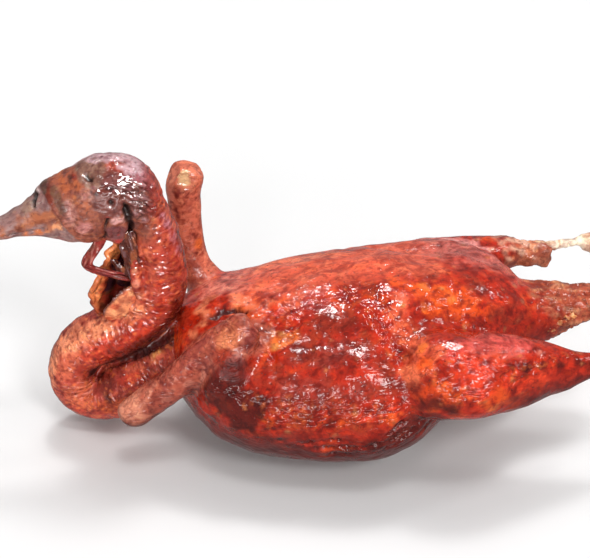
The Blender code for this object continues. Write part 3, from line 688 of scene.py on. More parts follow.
paint = layered(
    RED_GLAZE,
    (ORANGE_FAT, 0.45 * step(ripples(points, 2.4, 22) + 0.6 * grain, 0.6, 1.9)),
    (BROWNED, 0.5 * step(ripples(points, 2.0, 23) + 0.6 * grain, 0.6, 1.9)),
    *washes(points, WASHES, 0.15 * grain + 0.07 * fleck, 0.28, 0.95),
    (AMBER_FAT, 0.35 * puckered * step(fleck + 0.4 * grain, 0.6, 1.5) * step(x, -8.6, -7.2)),
    (DARK_GLAZE_AND_SHADE, 0.45 * step(-fleck - 0.9 * grain, 1.0, 2.1)),
    (TAIL_SKIN, 0.85 * tail),
    (TAIL_FAT, 0.6 * tail * step(streaky + 0.5 * fleck, 0.3, 1.4)),
    (LEG_MEAT, 0.9 * leg_end),
    (LEG_TENDON, 0.9 * leg_end * step(z + 0.3 * grain, 8.2, 8.8)),
    (DARK_GLAZE_AND_SHADE, 0.5 * (tail + leg_end) * step(fleck, 0.6, 1.4)),
    (wing, 0.95 * on_near_wing),
    (far_wing, 0.95 * on_far_wing),
    (PAINTED_TOP_LIGHT, 0.6 * lit_from_above * (1 - 0.5 * puckered)),
    # painted shade: darker where the skin turns from the top, darker still on the low underside, and under
    # the near thigh
    (SIDE_SHADE_BLACK, 0.18 * step(0.55 - up, 0.0, 0.5)),
    (DARK_GLAZE_AND_SHADE, 0.9 * shade_underneath * step(6.0 - z + 0.35 * grain, 0.0, 2.0)),
    (DARK_GLAZE_AND_SHADE, 0.8 * step(-up, -0.35, 0.35) * step(x + 0.3 * grain, 5.0, 8.5) * (y < -3)),
    (DARK_GLAZE_AND_SHADE, 0.9 * step(spots(points, UNDERSIDE_SHADE) + 0.1 * grain, 0.3, 0.9)),
    # painted shade in the valleys of the creases and in the pressed folds
    (DARK_GLAZE_AND_SHADE, 0.6 * (0.3 + 0.7 * puckered) * step(0.35 - crease, 0.0, 0.35)),
    (DARK_GLAZE_AND_SHADE, step(fold_depth, 0.08, 0.24)),
    (CHAR_AND_FOLD_SHADE, 0.9 * step(spots(points, CHARRED_DENT), 0.4, 0.8)),
)
pink = step(spots(points, WASHES[0][2]), 0.3, 0.9)  # the first wash: pink skin, partly painted sheen on the far slopes
elbow_shine = spots(points, ELBOW)
shine = np.clip(1.2 * puckered + elbow_shine + 0.4 * step(grain, 0.2, 1.4), 0, 1)
dull = 0.2 + 0.3 * pink + step(fold_depth, 0.3, 0.5) + 0.5 * step(5.0 - z, 0.0, 1.5) - 0.5 * shine
dull += 1.5 * spots(points, UNDER_THE_ELBOW)
shrivelled = puckered + 0.25 * step(grain, 0.3, 1.5) + 0.5 * on_near_wing + elbow_shine

across_turn = math.atan2(WAY_OF_THE_GATHERS[1], WAY_OF_THE_GATHERS[0])
thick_skin = glazed_skin("glazed_skin", 0.9, 0.0019, stretch=2.4, turn=across_turn)
carcass = piece(
    "carcass", points, quads, thick_skin, "roast_skin",
    paint=paint, dull=dull, shrivelled=shrivelled, gathered=gathered,
)
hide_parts("roast_duck")

# ---------------------------------------------------------------- neck and head
# The neck leaves the breast, turns back on itself beside the wing and stands up to the head. One thin skin
# covers both, grown like the body's: hooped across the neck, with painted shade in and over the deep crease
# where the neck lies on itself, inside its loop and down its back, painted sheen and light along its edges
# and outer bend, and dry, mauve and brown on the head, down to the horn of the bill, with painted shade in
# the head's folds and a painted sheen on its top.
HEAD_CELL = 0.085

NECK = [
    (-8, 0.9, 6.8, 3, 2.8), (-10, 1.1, 6.1, 2.7, 2.6), (-12, 1.4, 5.1, 2.4, 2.3), (-14.1, 1.8, 3.7, 2.1, 2.1),
    (-16.1, 2.3, 2.4, 1.9, 1.9), (-17.7, 2.5, 2.6, 1.7, 1.65), (-18.2, 2.5, 4.3, 1.65, 1.55),
    (-17.3, 2.4, 6, 1.7, 1.65), (-15.7, 2.2, 6.9, 1.8, 1.75), (-14.1, 2, 7.8, 1.8, 1.75),
    (-12.95, 1.8, 9.1, 1.65, 1.65), (-12.4, 1.6, 10.9, 1.6, 1.6), (-12.4, 1.5, 12.8, 1.5, 1.5),
    (-12.7, 1.5, 14.6, 1.45, 1.4), (-13.2, 1.5, 16.4, 1.4, 1.3),
]
HEAD = [
    (-24, 1.5, 14.85, 0.6, 0.24, 0.22), (-23.5, 1.5, 14.95, 1, 0.36, 0.32),
    (-22.7, 1.5, 15.2, 1.1, 0.45, 0.4), (-21.8, 1.5, 15.5, 1, 0.6, 0.55),
    (-20.9, 1.5, 15.85, 0.95, 0.85, 0.85), (-20, 1.5, 16.15, 1, 1.2, 1.2),
    (-19.4, 1.5, 16.5, 1.15, 1.65, 1.6), (-18.7, 1.5, 16.7, 1.35, 1.85, 1.95),
    (-18.1, 1.5, 16.8, 1.6, 2.05, 2.2), (-17.5, 1.5, 16.95, 1.8, 2.2, 2.5),
    (-16.7, 1.5, 17.1, 2.05, 2.5, 2.7), (-15.7, 1.5, 17.15, 2.2, 2.75, 2.7),
    (-14.5, 1.5, 17.15, 2.15, 2.7, 2.6), (-13.4, 1.5, 17.1, 1.85, 2.3, 2.1),
    (-12.5, 1.5, 16.8, 1.25, 1.6, 1.3), (-12, 1.5, 16.5, 0.4, 0.5, 0.5),
]
# The near side's features, each with a twin across the middle of the head: half width, depth and line.
HEAD_MIDDLE = 1.5
FACE_FOLDS = [
    (0.1, 0.2, [
        (-23.4, 0.62, 15), (-21.5, 0.55, 15.45), (-20.3, 0.6, 15.6), (-19.1, 0.4, 16.05), (-18.3, 0, 16.75),
    ]),
    (0.17, 0.5, [(-19.62, 1.2, 17.95), (-19.68, 1.05, 17.65), (-19.72, 0.9, 17.35)]),
    (0.16, 0.36, [(-16.6, 0.45, 19.45), (-16.5, 0.3, 19.35), (-16.25, 0.2, 19.2)]),
    (0.15, 0.5, [(-15.2, -0.5, 18.02), (-15.14, -0.5, 17.96)]),
    (0.12, 0.1, [(-17.6, -0.1, 18.4), (-17.6, -0.2, 17.8), (-17.5, -0.3, 17)]),
]
THROAT_FOLDS = [  # the same way, but felt from further out or in, because the throat is lumpy here
    (0.11, 0.5, [(-15.5, -0.6, 16.85), (-15.62, -0.3, 16.2), (-15.67, 0, 15.5), (-15.8, 0.3, 14.8)]),
    (0.13, 0.5, [(-14.42, -0.3, 17.8), (-14.34, -0.2, 17.4), (-14.25, 0, 16.9)]),
    (0.22, 1, [
        (-14.32, -0.2, 17.4), (-14.2, 0, 16.7), (-14.1, 0.2, 16.2), (-14.12, 0.3, 15.6), (-14.2, 0.5, 14.8),
    ]),
    (0.1, 0.07, [(-15.8, -0.3, 18.75), (-15.3, -0.3, 18.8), (-14.8, -0.3, 18.66), (-14.45, -0.35, 18.3)]),
    (0.09, 0.12, [
        (-17.4, -0.4, 16.8), (-17.5, -0.4, 16.2), (-17.1, -0.4, 15.7), (-16.5, -0.3, 15.6),
        (-16.15, -0.4, 16.1), (-16.2, -0.5, 16.8),
    ]),
    (0.07, 0.16, [(-15.2, -0.4, 16.4), (-15.25, -0.4, 15.8), (-15.15, -0.3, 15.1)]),
    (0.07, 0.16, [(-14.8, -0.4, 16.4), (-14.75, -0.4, 15.8), (-14.8, -0.3, 15.1)]),
    (0.08, 0.18, [
        (-14.45, -0.3, 18.2), (-14, -0.3, 17.95), (-13.5, -0.3, 17.7), (-13.1, -0.1, 17.3),
        (-12.7, 0.1, 16.9),
    ]),
    (0.08, 0.16, [
        (-14.3, -0.25, 18.5), (-13.7, -0.2, 18.3), (-13.2, 0, 17.95), (-12.6, 0.3, 17.4), (-12.2, 0.8, 16.8),
    ]),
    (0.08, 0.14, [
        (-13.9, -0.1, 18.7), (-13.3, 0.1, 18.4), (-12.7, 0.4, 18), (-12.2, 1, 17.4), (-12, 1.5, 16.8),
    ]),
    (0.08, 0.14, [(-14.2, -0.2, 17.1), (-13.9, -0.1, 16.7), (-13.5, -0.1, 16.3), (-13.2, 0, 15.9)]),
    (0.07, 0.12, [(-13.7, -0.3, 17.4), (-13.2, -0.1, 17), (-12.8, 0.1, 16.5)]),
]
JAW_JOINT = (-16.8, 0.05, 16.25, 0.62, 0.62, 0.62)  # x, y, z, then half the size each way
THROAT_MEAT = (-15, 0.45, 15.4, 0.62, 0.55, 0.95)
THROAT_LOBE = (-14.9, -0.1, 16.85, 0.5, 0.38, 0.28)
EYE = (-16.4, 0.4, 18.6, 0.8, 0.5, 0.65)
NECK_FOLD = (-14.1, 1.1, 9.7, 0.7, 0.7, 0.9)
NECK_STRAND = [
    (-13.6, 0.7, 14.4, 0.25, 0.3), (-14, 0.6, 13, 0.3, 0.32), (-14, 0.5, 11.6, 0.34, 0.38),
    (-13.7, 0.5, 10.2, 0.3, 0.3),
]

HEAD_SKIN = (0.38, 0.100, 0.050)
HEAD_PINK = (0.54, 0.21, 0.16)
LAVENDER_CAP_AND_SHEEN = (0.70, 0.44, 0.45)
NAPE_BROWN = (0.22, 0.065, 0.050)
NAPE_EDGE = (0.50, 0.24, 0.23)
NECK_RED = (0.46, 0.056, 0.034)
NECK_ORANGE = (0.66, 0.130, 0.065)
DEEP_RED_SHADE = (0.11, 0.010, 0.006)
MAROON = (0.20, 0.055, 0.055)
HORN_PINK = (0.29, 0.155, 0.140)
NECK_SPECK = (0.20, 0.016, 0.008)
NECK_FLECK = (0.92, 0.20, 0.05)
CREASE_SHADE = (0.15, 0.010, 0.005)
CREASE_DARK = (0.045, 0.003, 0.002)
NAPE_CREASE_SHADE = (0.05, 0.014, 0.012)
HEAD_SPECK = (0.16, 0.045, 0.040)
HORN_BROWN = (0.34, 0.16, 0.13)
HEAD_TONE = np.array([0.88, 0.88, 0.92])
CHEEK_TAN = (0.5, 0.12, 0.04)
JAW_BROWN = (0.15, 0.02, 0.01)
EYELID_TAN = (0.3, 0.15, 0.1)
EYE_RIM = (0.05, 0.04, 0.024)
EYE_CORNER = (0.28, 0.018, 0.006)
BILL_ROOT = (0.2, 0.024, 0.01)
BILL_SEAM = (0.19, 0.075, 0.042)
BROW_GREY = (0.12, 0.07, 0.045)
EAR_BROWN = (0.17, 0.036, 0.026)
CAP_MAUVE = (0.42, 0.12, 0.14)
CAP_RED = (0.5, 0.07, 0.035)
TEMPLE_MAUVE = (0.15, 0.042, 0.044)
CHIN_PINK = (0.64, 0.24, 0.2)
NAPE_GREY = (0.52, 0.28, 0.29)
NAPE_RED = (0.44, 0.06, 0.05)
SLIT_SHADE_BLACK = (0.012, 0.004, 0.003)
FOLD_SHADE_BROWN = (0.05, 0.012, 0.009)
THROAT_PINK = (0.74, 0.36, 0.31)
THROAT_RED = (0.46, 0.03, 0.022)
HEAD_WASHES = [  # a colour, its strength and the places it lies on, of which each has a twin on the far side
    (CHEEK_TAN, 0.8, [
        (-17.1, 0, 18.7, 0.3), (-16.6, -0.5, 17.8, 0.35), (-17.3, 0, 19, 0.3), (-17.2, -0.3, 18.1, 0.25),
        (-18, 1, 19, 0.3), (-17.8, 0.3, 18.6, 0.25),
    ]),
    (HEAD_PINK, 0.85, [
        (-16.8, -0.3, 18.4, 0.3), (-17.5, -0.2, 17.4, 0.4), (-17.6, -0.2, 16.8, 0.4),
        (-17.7, -0.1, 17.8, 0.25), (-16.3, -0.4, 18.6, 0.25), (-18.1, 0, 15.9, 0.4),
    ]),
    (JAW_BROWN, 0.85, [
        (-15.9, -0.5, 17.9, 0.3), (-15.8, -0.3, 18.7, 0.3), (-15.3, -0.3, 18.75, 0.25),
        (-15.7, -0.6, 17.1, 0.3),
    ]),
    (EYELID_TAN, 0.95, [
        (-16.9, 0.9, 19.6, 0.45), (-16.3, 0.8, 19.7, 0.55), (-15.8, 0.7, 19.65, 0.45),
        (-15.9, 0.1, 19.2, 0.35), (-16.5, 0.1, 19.2, 0.4),
    ]),
    (EYE_RIM, 0.9, [
        (-17.4, 1, 19.4, 0.2), (-17.15, 1.2, 19.55, 0.2), (-16.55, 0.35, 19.42, 0.16),
    ]),
    (EYE_CORNER, 0.9, [(-17.26, 0.5, 19.2, 0.25)]),
    (BILL_ROOT, 0.9, [
        (-18.95, 0.7, 18, 0.4), (-18.85, 0.45, 17.7, 0.35), (-18.7, 0.2, 17.3, 0.3), (-18.6, 0.6, 18.4, 0.25),
    ]),
    (BILL_SEAM, 0.95, [
        (-18.45, 0.6, 18.4, 0.3), (-18.27, 0.3, 18.05, 0.3), (-18.12, 0.1, 17.75, 0.3),
        (-18, -0.1, 17.3, 0.28),
    ]),
    (BROW_GREY, 0.9, [
        (-19.14, 1.3, 18.28, 0.22), (-18.9, 1.6, 18.45, 0.25), (-19.05, 1, 18.2, 0.2),
    ]),
    (EAR_BROWN, 0.85, [
        (-15.8, -0.5, 18.3, 0.4), (-15.2, -0.45, 18.35, 0.45), (-14.8, -0.3, 17.75, 0.45),
        (-15.4, -0.6, 17.6, 0.45), (-16, -0.5, 17.8, 0.4), (-15, -0.4, 17.3, 0.35),
    ]),
    (NAPE_BROWN, 0.95, [
        (-14.3, -0.3, 18.3, 0.5), (-13.8, -0.2, 18.3, 0.55), (-13.2, 0, 18, 0.6), (-12.7, 0.3, 17.6, 0.6),
        (-13.4, -0.2, 17.4, 0.55), (-13.8, -0.1, 16.9, 0.4), (-12.8, 0.1, 16.9, 0.45),
    ]),
    (CAP_MAUVE, 0.9, [
        (-13.4, 0.8, 19.2, 0.5), (-13, 0.8, 18.8, 0.45), (-12.7, 0.7, 18.4, 0.4), (-13, 1.5, 19.1, 0.5),
        (-13.7, 0.5, 19.15, 0.3),
    ]),
    (CAP_RED, 0.9, [
        (-15.1, 0.9, 19.75, 0.25), (-14.7, 0.8, 19.7, 0.3), (-14.4, 0.6, 19.55, 0.25),
        (-14, 0.75, 19.5, 0.25),
    ]),
    (TEMPLE_MAUVE, 0.75, [(-15.4, 0, 19.2, 0.4), (-14.8, 0, 19.1, 0.5), (-14.2, 0, 18.8, 0.45)]),
    (CHIN_PINK, 0.9, [(-16.8, -0.4, 16.3, 0.6)]),
    (NAPE_GREY, 0.8, [(-12.3, 0.9, 17.8, 0.3)]),
    (NAPE_RED, 0.8, [(-12.7, 0.1, 17, 0.3), (-12.3, 0.5, 16.8, 0.3)]),
    # painted shade deep in the slit behind the jaw
    (SLIT_SHADE_BLACK, 0.97, [
        (-14.45, -0.3, 17.7, 0.14), (-14.35, -0.2, 17.4, 0.18), (-14.3, -0.1, 17.1, 0.22),
        (-14.2, 0, 16.7, 0.26), (-14.15, 0.1, 16.3, 0.26), (-14.12, 0.3, 15.9, 0.26),
        (-14.15, 0.3, 15.5, 0.28), (-14.2, 0.5, 15, 0.28),
    ]),
    # painted shade along the folds of the throat, over the ear, by the eye and behind the jaw
    (FOLD_SHADE_BROWN, 0.9, [
        (-15.5, -0.6, 16.85, 0.14), (-15.6, -0.4, 16.4, 0.16), (-15.66, -0.1, 15.9, 0.18),
        (-15.7, 0.1, 15.4, 0.2), (-15.8, 0.3, 14.9, 0.2), (-15.45, -0.3, 18.78, 0.16),
        (-15.1, -0.3, 18.75, 0.16), (-14.85, -0.3, 18.65, 0.16), (-17.45, 0.7, 19.35, 0.2),
        (-17.5, 0.5, 19.15, 0.2), (-17.5, 0.3, 18.95, 0.18), (-16, -0.4, 18.5, 0.16),
        (-16.3, -0.3, 18.6, 0.14),
    ]),
    (MAROON, 0.95, [
        (-15.3, -0.3, 16.1, 0.35), (-14.9, -0.4, 15.9, 0.45), (-15.1, 0, 15.2, 0.6), (-14.5, -0.1, 15.8, 0.4),
    ]),
    (THROAT_PINK, 0.95, [
        (-15.2, -0.5, 16.75, 0.22), (-14.9, -0.5, 16.85, 0.27), (-14.55, -0.2, 16.85, 0.22),
    ]),
    (THROAT_RED, 0.9, [
        (-14.95, 0.2, 14.9, 0.3), (-15.45, -0.5, 17, 0.15), (-14.9, -0.4, 15.5, 0.12),
    ]),
]
HORN_TAN = (0.42, 0.11, 0.034)
HORN_PALE = (0.36, 0.22, 0.15)
HORN_RED = (0.2, 0.045, 0.018)
MOUTH_ORANGE = (0.86, 0.34, 0.14)
MOUTH_AMBER = (0.66, 0.17, 0.045)
LOWER_HORN = (0.44, 0.16, 0.15)
NOSTRIL_GLINT = (0.86, 0.66, 0.62)
NOSTRIL_SHADE = (0.01, 0.004, 0.003)
BILL_WASHES = [
    (HORN_TAN, 0.9, [
        (-18.6, 0.1, 17, 0.5), (-19.2, 0.4, 16.8, 0.5), (-19.8, 0.6, 16.5, 0.5), (-20.6, 0.7, 16.1, 0.5),
        (-21.6, 0.7, 15.6, 0.4),
    ]),
    (HORN_PALE, 0.8, [(-19.9, 0.9, 17.3, 0.3), (-20.3, 1, 17, 0.3)]),
    (HORN_RED, 0.8, [(-18.3, 0, 17.1, 0.25), (-19.5, 0.5, 16.35, 0.2), (-20.6, 0.6, 15.9, 0.2)]),
    (MOUTH_ORANGE, 0.9, [(-18.4, 0.1, 16.3, 0.4), (-18.9, 0.3, 15.9, 0.35)]),
    (MOUTH_AMBER, 0.9, [(-19.5, 0.5, 15.6, 0.35), (-20.2, 0.6, 15.4, 0.35)]),
    (LOWER_HORN, 0.9, [
        (-19.2, 0.9, 14.9, 0.35), (-20.4, 0.9, 15, 0.3), (-21.5, 0.9, 14.9, 0.3), (-18.4, 0.5, 14.9, 0.4),
    ]),
    # a painted glint above the nostril
    (NOSTRIL_GLINT, 0.8, [(-19.4, 1.3, 18.1, 0.25)]),
    # painted shade inside the nostril
    (NOSTRIL_SHADE, 0.97, [
        (-19.6, 1.2, 18, 0.2), (-19.66, 1.1, 17.75, 0.24), (-19.7, 0.95, 17.5, 0.22),
    ]),
]
BEND_RED = (0.58, 0.045, 0.02)
BEND_HIGHLIGHT = (1, 0.34, 0.17)
LOOP_RED = (0.66, 0.055, 0.022)
LOOP_ORANGE = (0.66, 0.13, 0.06)
LOOP_BROWN = (0.4, 0.06, 0.018)
LOOP_SHADE = (0.3, 0.022, 0.008)
BACK_MAUVE_SHEEN = (0.52, 0.18, 0.21)
FRONT_ORANGE_SHEEN = (0.78, 0.27, 0.17)
NECK_WASHES = [
    (NECK_ORANGE, 0.9, [
        (-18.8, 1, 4.9, 0.8), (-18.2, 1, 6.1, 0.8), (-17, 0.9, 7.2, 0.8), (-15.6, 0.7, 8.1, 0.7),
        (-14.4, 0.6, 8.8, 0.6), (-13.7, 0.2, 12.4, 0.5), (-13.6, 0.2, 11, 0.5), (-13.4, 0.2, 13.8, 0.6),
        (-14.2, 0, 5.7, 0.5), (-13.2, 0, 6.3, 0.5), (-12.6, 0, 6.7, 0.4), (-19.3, 2.5, 5, 0.9),
        (-17.8, 2.4, 7.5, 0.9), (-12.9, 0.1, 16.2, 0.45), (-12.7, 0, 15.6, 0.4),
    ]),
    (BEND_RED, 0.9, [
        (-14.4, 0.4, 7.8, 0.6), (-15, 0.3, 7.2, 0.7), (-16.2, 0.5, 6.3, 0.6), (-13.6, 0.3, 8.4, 0.7),
        (-12.9, 0, 9.6, 0.5), (-15.2, 0.1, 4.6, 0.6), (-14.2, -0.1, 5, 0.6), (-16.4, 0.6, 5.9, 0.4),
        (-12.6, 0, 11.6, 0.4), (-12.5, 0, 10.4, 0.4),
    ]),
    (YELLOW_FAT, 0.8, [
        (-13.3, 0, 6.5, 0.3), (-12.8, 0, 6.8, 0.25), (-12.8, 0, 16.2, 0.2), (-16.6, 0.5, 5.6, 0.25),
    ]),
    (ROSY_ORANGE, 0.95, [
        (-14.4, 0.6, 10.2, 0.6), (-14.6, 0.6, 9.4, 0.6), (-15.1, 0.9, 9, 0.5), (-13.9, 0.4, 9.6, 0.5),
    ]),
    # painted shade on the back of the standing neck, along the crease and where the neck meets the body
    (DEEP_RED_SHADE, 0.95, [
        (-11.1, 0.7, 11, 0.5), (-11.3, 0.6, 9.6, 0.7), (-11.8, 0.3, 8.4, 0.7), (-12.7, 0.3, 7.6, 0.6),
        (-11, 1.1, 12.4, 0.45), (-10.9, 1, 8, 0.8), (-10.6, 0.4, 7.4, 0.7), (-17.3, 0.9, 4.3, 0.4),
        (-17, 0.9, 3.5, 0.4), (-12, 0.2, 7.6, 0.7), (-12.2, 0, 8.2, 0.4), (-11.4, 0.2, 9, 0.7),
        (-13.8, 0.6, 6.7, 0.7), (-14.9, 0.8, 6, 0.8), (-13.4, 0.7, 7, 0.7), (-15.9, 1, 5.3, 0.6),
        (-16.6, 1.3, 4.7, 0.55), (-12.8, 0.4, 7.3, 0.5),
    ]),
    # painted light on the top of the neck's outer bend
    (BEND_HIGHLIGHT, 0.85, [
        (-17, 1.2, 8, 0.9), (-18.2, 1.2, 7, 0.7), (-16, 0.9, 8.4, 0.6), (-19.6, 2, 4.6, 0.6),
        (-19.4, 2, 5.6, 0.8), (-18.8, 1.9, 6.6, 0.7), (-18, 2, 7.4, 0.6), (-19.6, 2.2, 3.6, 0.7),
    ]),
    (LOOP_RED, 0.7, [(-16.6, 0.6, 6.9, 0.6), (-15.8, 0.5, 7.4, 0.5), (-17.3, 0.7, 6.3, 0.5)]),
    (LOOP_ORANGE, 0.8, [(-18.4, 1, 3.2, 0.8), (-17.6, 0.8, 2.8, 0.8), (-17.4, 0.7, 3.9, 0.6)]),
    (LOOP_BROWN, 0.85, [(-16.3, 0.5, 2.4, 0.8), (-15.2, 0.2, 2.9, 0.7), (-14.6, 0, 3.6, 0.5)]),
    # painted shade inside the loop and beside the crease
    (LOOP_SHADE, 0.85, [
        (-17.6, 0.7, 5.2, 0.7), (-16.8, 0.5, 4.2, 0.7), (-17.3, 1, 4.9, 0.35), (-14.3, 0.4, 7.2, 0.3),
        (-12.6, 0.2, 8.6, 0.35),
    ]),
    # painted shade inside the loop
    (DEEP_RED_SHADE, 0.8, [
        (-16.6, 1.3, 4.3, 0.5), (-16.3, 0.7, 3.7, 0.55), (-16.9, 0.7, 4, 0.5), (-15.9, 0.7, 4.3, 0.45),
        (-16, 0.5, 3, 0.4), (-17, 1, 4.9, 0.45),
    ]),
    # painted sheen down the back edge of the standing neck
    (BACK_MAUVE_SHEEN, 0.85, [
        (-11.5, 0.5, 14.6, 0.5), (-11.3, 0.6, 13.6, 0.4), (-11.9, 0.5, 15.6, 0.45), (-12.3, 0.5, 16.3, 0.35),
    ]),
    # painted sheen down the front edge of the standing neck
    (FRONT_ORANGE_SHEEN, 0.85, [
        (-14, 0.1, 12.6, 0.4), (-14, 0.1, 11.7, 0.4), (-13.9, 0.2, 10.8, 0.35), (-13.9, 0.2, 13.6, 0.3),
    ]),
]
# The deep fold where the neck lies back on itself, with painted shade deep in it and over it.
NECK_CREASE = [
    (-17, 1.2, 4.6), (-16.2, 1, 5.1), (-15.2, 0.8, 5.7), (-14.2, 0.6, 6.2), (-13.2, 0.4, 6.9),
    (-12.3, 0.2, 7.7), (-11.6, 0.2, 8.6), (-11.2, 0.4, 9.6),
]
OVER_THE_CREASE = [
    (-15.4, 0.5, 6.3), (-14.4, 0.3, 6.9), (-13.5, 0.1, 7.6), (-12.6, 0, 8.3), (-11.9, 0.1, 9.2),
    (-11.6, 0.3, 10.2),
]
NAPE = [(-13.2, 0, 18, 1.2), (-13.6, -0.2, 17.2, 1), (-12.6, 0.6, 17.4, 1.1)]
GLINTING = [  # the first five on the head, the others along the neck
    (-15.4, 0.1, 19.2, 0.6), (-14.8, 0.1, 19.2, 0.7), (-14.2, 0.1, 18.9, 0.6), (-13.7, 0.1, 18.8, 0.4),
    (-12.4, 0, 14.4, 0.6), (-12.4, 0, 13.4, 0.8), (-12.2, -0.1, 12.2, 0.9), (-12.2, -0.1, 11, 0.9),
    (-12.6, 0, 9.9, 0.9), (-14.2, 0.2, 8.3, 0.9), (-16, 0.6, 7, 0.7), (-13, 0, 6.4, 0.8),
    (-14.6, 0, 5.2, 0.7), (-13.4, 0.2, 9, 0.7),
]


def across_the_head(values):
    """The same point or line on the other side of the head."""
    twin = np.array(values, float)
    twin[..., 1] = 2 * HEAD_MIDDLE - twin[..., 1]
    return twin


parts = [carried(NECK), carried(NECK_STRAND), ovals(HEAD), egg(*NECK_FOLD)]
for lump in (JAW_JOINT, THROAT_MEAT, THROAT_LOBE, EYE):
    parts += [egg(*lump), egg(*across_the_head(lump))]
points, quads, out = skin_over(HEAD_CELL, 9, parts)

neck_path = through(NECK, 12)[:, :3]
run = np.gradient(neck_path, axis=0)
run /= np.linalg.norm(run, axis=1, keepdims=True)
nearest = np.argmin([np.linalg.norm(points - row, axis=1) for row in neck_path], axis=0)
travelled = np.concatenate([[0], np.cumsum(np.linalg.norm(np.diff(neck_path, axis=0), axis=1))])
along_neck = travelled[nearest] + ((points - neck_path[nearest]) * run[nearest]).sum(axis=1)
along_neck += 0.10 * ripples(points, 1.6, 31) + 0.015 * ripples(points, 0.6, 30)
on_head = step(-points[:, 0], 12.2, 13.4) * step(points[:, 2], 13.8, 15.4)
bill_line = -points[:, 0] - 0.6 * (points[:, 2] - 17.4) + 0.04 * ripples(points, 0.7, 35)
on_bill = step(bill_line, 18.55, 18.72) * on_head
near_half = points.copy()
near_half[:, 1] = HEAD_MIDDLE - np.abs(points[:, 1] - HEAD_MIDDLE)

fold_depth = 0.0
for folds, sideways in ((FACE_FOLDS, 1.0), (THROAT_FOLDS, 0.35)):
    folds = folds + [(width, deep, across_the_head(line)) for width, deep, line in folds]
    points, depth = pressed(points, out, folds, 0.03, sideways)
    fold_depth = fold_depth + depth
hooped = (1 - on_head) * step(ripples(points, 1.2, 36), -1.6, -0.2)
hoop_depth = 0.010 * hooped * np.cos(2 * math.pi * along_neck / 0.45)
nape = on_head * np.clip(spots(near_half, NAPE), 0, 1)
bare = on_head * (1 - on_bill)
dried = np.abs(ripples(drawn_out(points, (1.6, 0.6, -1.2), 0.7), 0.42, 33))
wrinkled = np.abs(ripples(drawn_out(points, (1, 0, 0.2), 0.4), 0.45, 34))
shrunk = 0.10 * nape * (dried - 0.8) + 0.02 * bare * (wrinkled - 0.8)
lip = 0.07 * bare * step(bill_line, 17.5, 18.5)
points += out * (hoop_depth + shrunk + lip + 0.020 * ripples(points, 1.1, 37) - 0.02)[:, None]
out = facing(points, quads)

grain = ripples(points, 0.6, 41)
fleck = ripples(points, 0.3, 43)
patchy = 0.10 * grain + 0.10 * fleck
in_crease = along(points, [(0.40, NECK_CREASE)])
x, y, z = points.T
crown = step(y + 0.48 * (x + 13.8) + 0.2 * grain, 0.05, 0.65) * step(z, 18.5, 19.2)
crown *= step(-x, 13.0, 13.6) * step(17.6 + x, 0.0, 0.8)
neck = layered(
    NECK_RED,
    (NECK_ORANGE, 0.5 * step(ripples(points, 1.5, 42) + 0.6 * grain, 0.4, 1.6)),
    *washes(points, NECK_WASHES, patchy, 0.3, 0.95),
    (NECK_SPECK, 0.55 * step(-fleck - 0.6 * grain, 0.6, 1.8)),
    (NECK_FLECK, 0.4 * step(fleck + 0.5 * grain, 0.8, 1.8)),
    # painted shade over the crease and deep in it
    (CREASE_SHADE, 0.8 * step(along(points, [(0.45, OVER_THE_CREASE)]) + patchy, 0.2, 0.9)),
    (CREASE_DARK, 0.92 * step(in_crease + 0.5 * patchy, 0.3, 0.8)),
)
head = layered(
    HEAD_SKIN,
    *washes(near_half, HEAD_WASHES, patchy, 0.25, 0.9, 0.35),
    # pale lavender on the top of the head: partly its own colour, partly painted sheen
    (LAVENDER_CAP_AND_SHEEN, 0.9 * crown),
    (NAPE_EDGE, 0.8 * nape * step(dried + 0.2 * grain, 0.9, 1.6)),
    # painted shade in the valleys of the nape's wrinkles
    (NAPE_CREASE_SHADE, 0.9 * nape * step(0.4 - dried, 0.0, 0.35)),
    (HEAD_SPECK, 0.5 * step(-fleck - 0.5 * grain, 0.6, 1.6)),
)
bill = layered(
    HORN_PINK,
    (HORN_BROWN, 0.4 * step(grain, 0.4, 1.6)),
    *washes(near_half, BILL_WASHES, patchy, 0.2, 1.1, 0.6),
)
head = head * HEAD_TONE
paint = neck * (1 - on_head[:, None]) + head * (on_head - on_bill)[:, None] + bill * on_bill[:, None]
# painted shade in the pressed folds of the head and neck
paint = layered(paint, (CHAR_AND_FOLD_SHADE, step(fold_depth, 0.08, 0.3)))
thin_skin = glazed_skin("head_skin", 1.0, 0.0017, stretch=2.0)
shine = np.clip(spots(points, GLINTING, 0.6) + spots(near_half, GLINTING[:5], 0.6), 0, 1)
dull = 0.2 + 0.5 * on_head + step(fold_depth, 0.2, 0.4) + 1.2 * in_crease - 1.2 * shine
shrivelled = 0.5 * nape + 0.2 * bare * (1 - shine)

piece(
    "neck_and_head", points, quads, thin_skin, "head_skin",
    paint=paint, dull=dull, shrivelled=shrivelled, hoops=along_neck / HOOPED_SPAN, hooped=hooped,
)

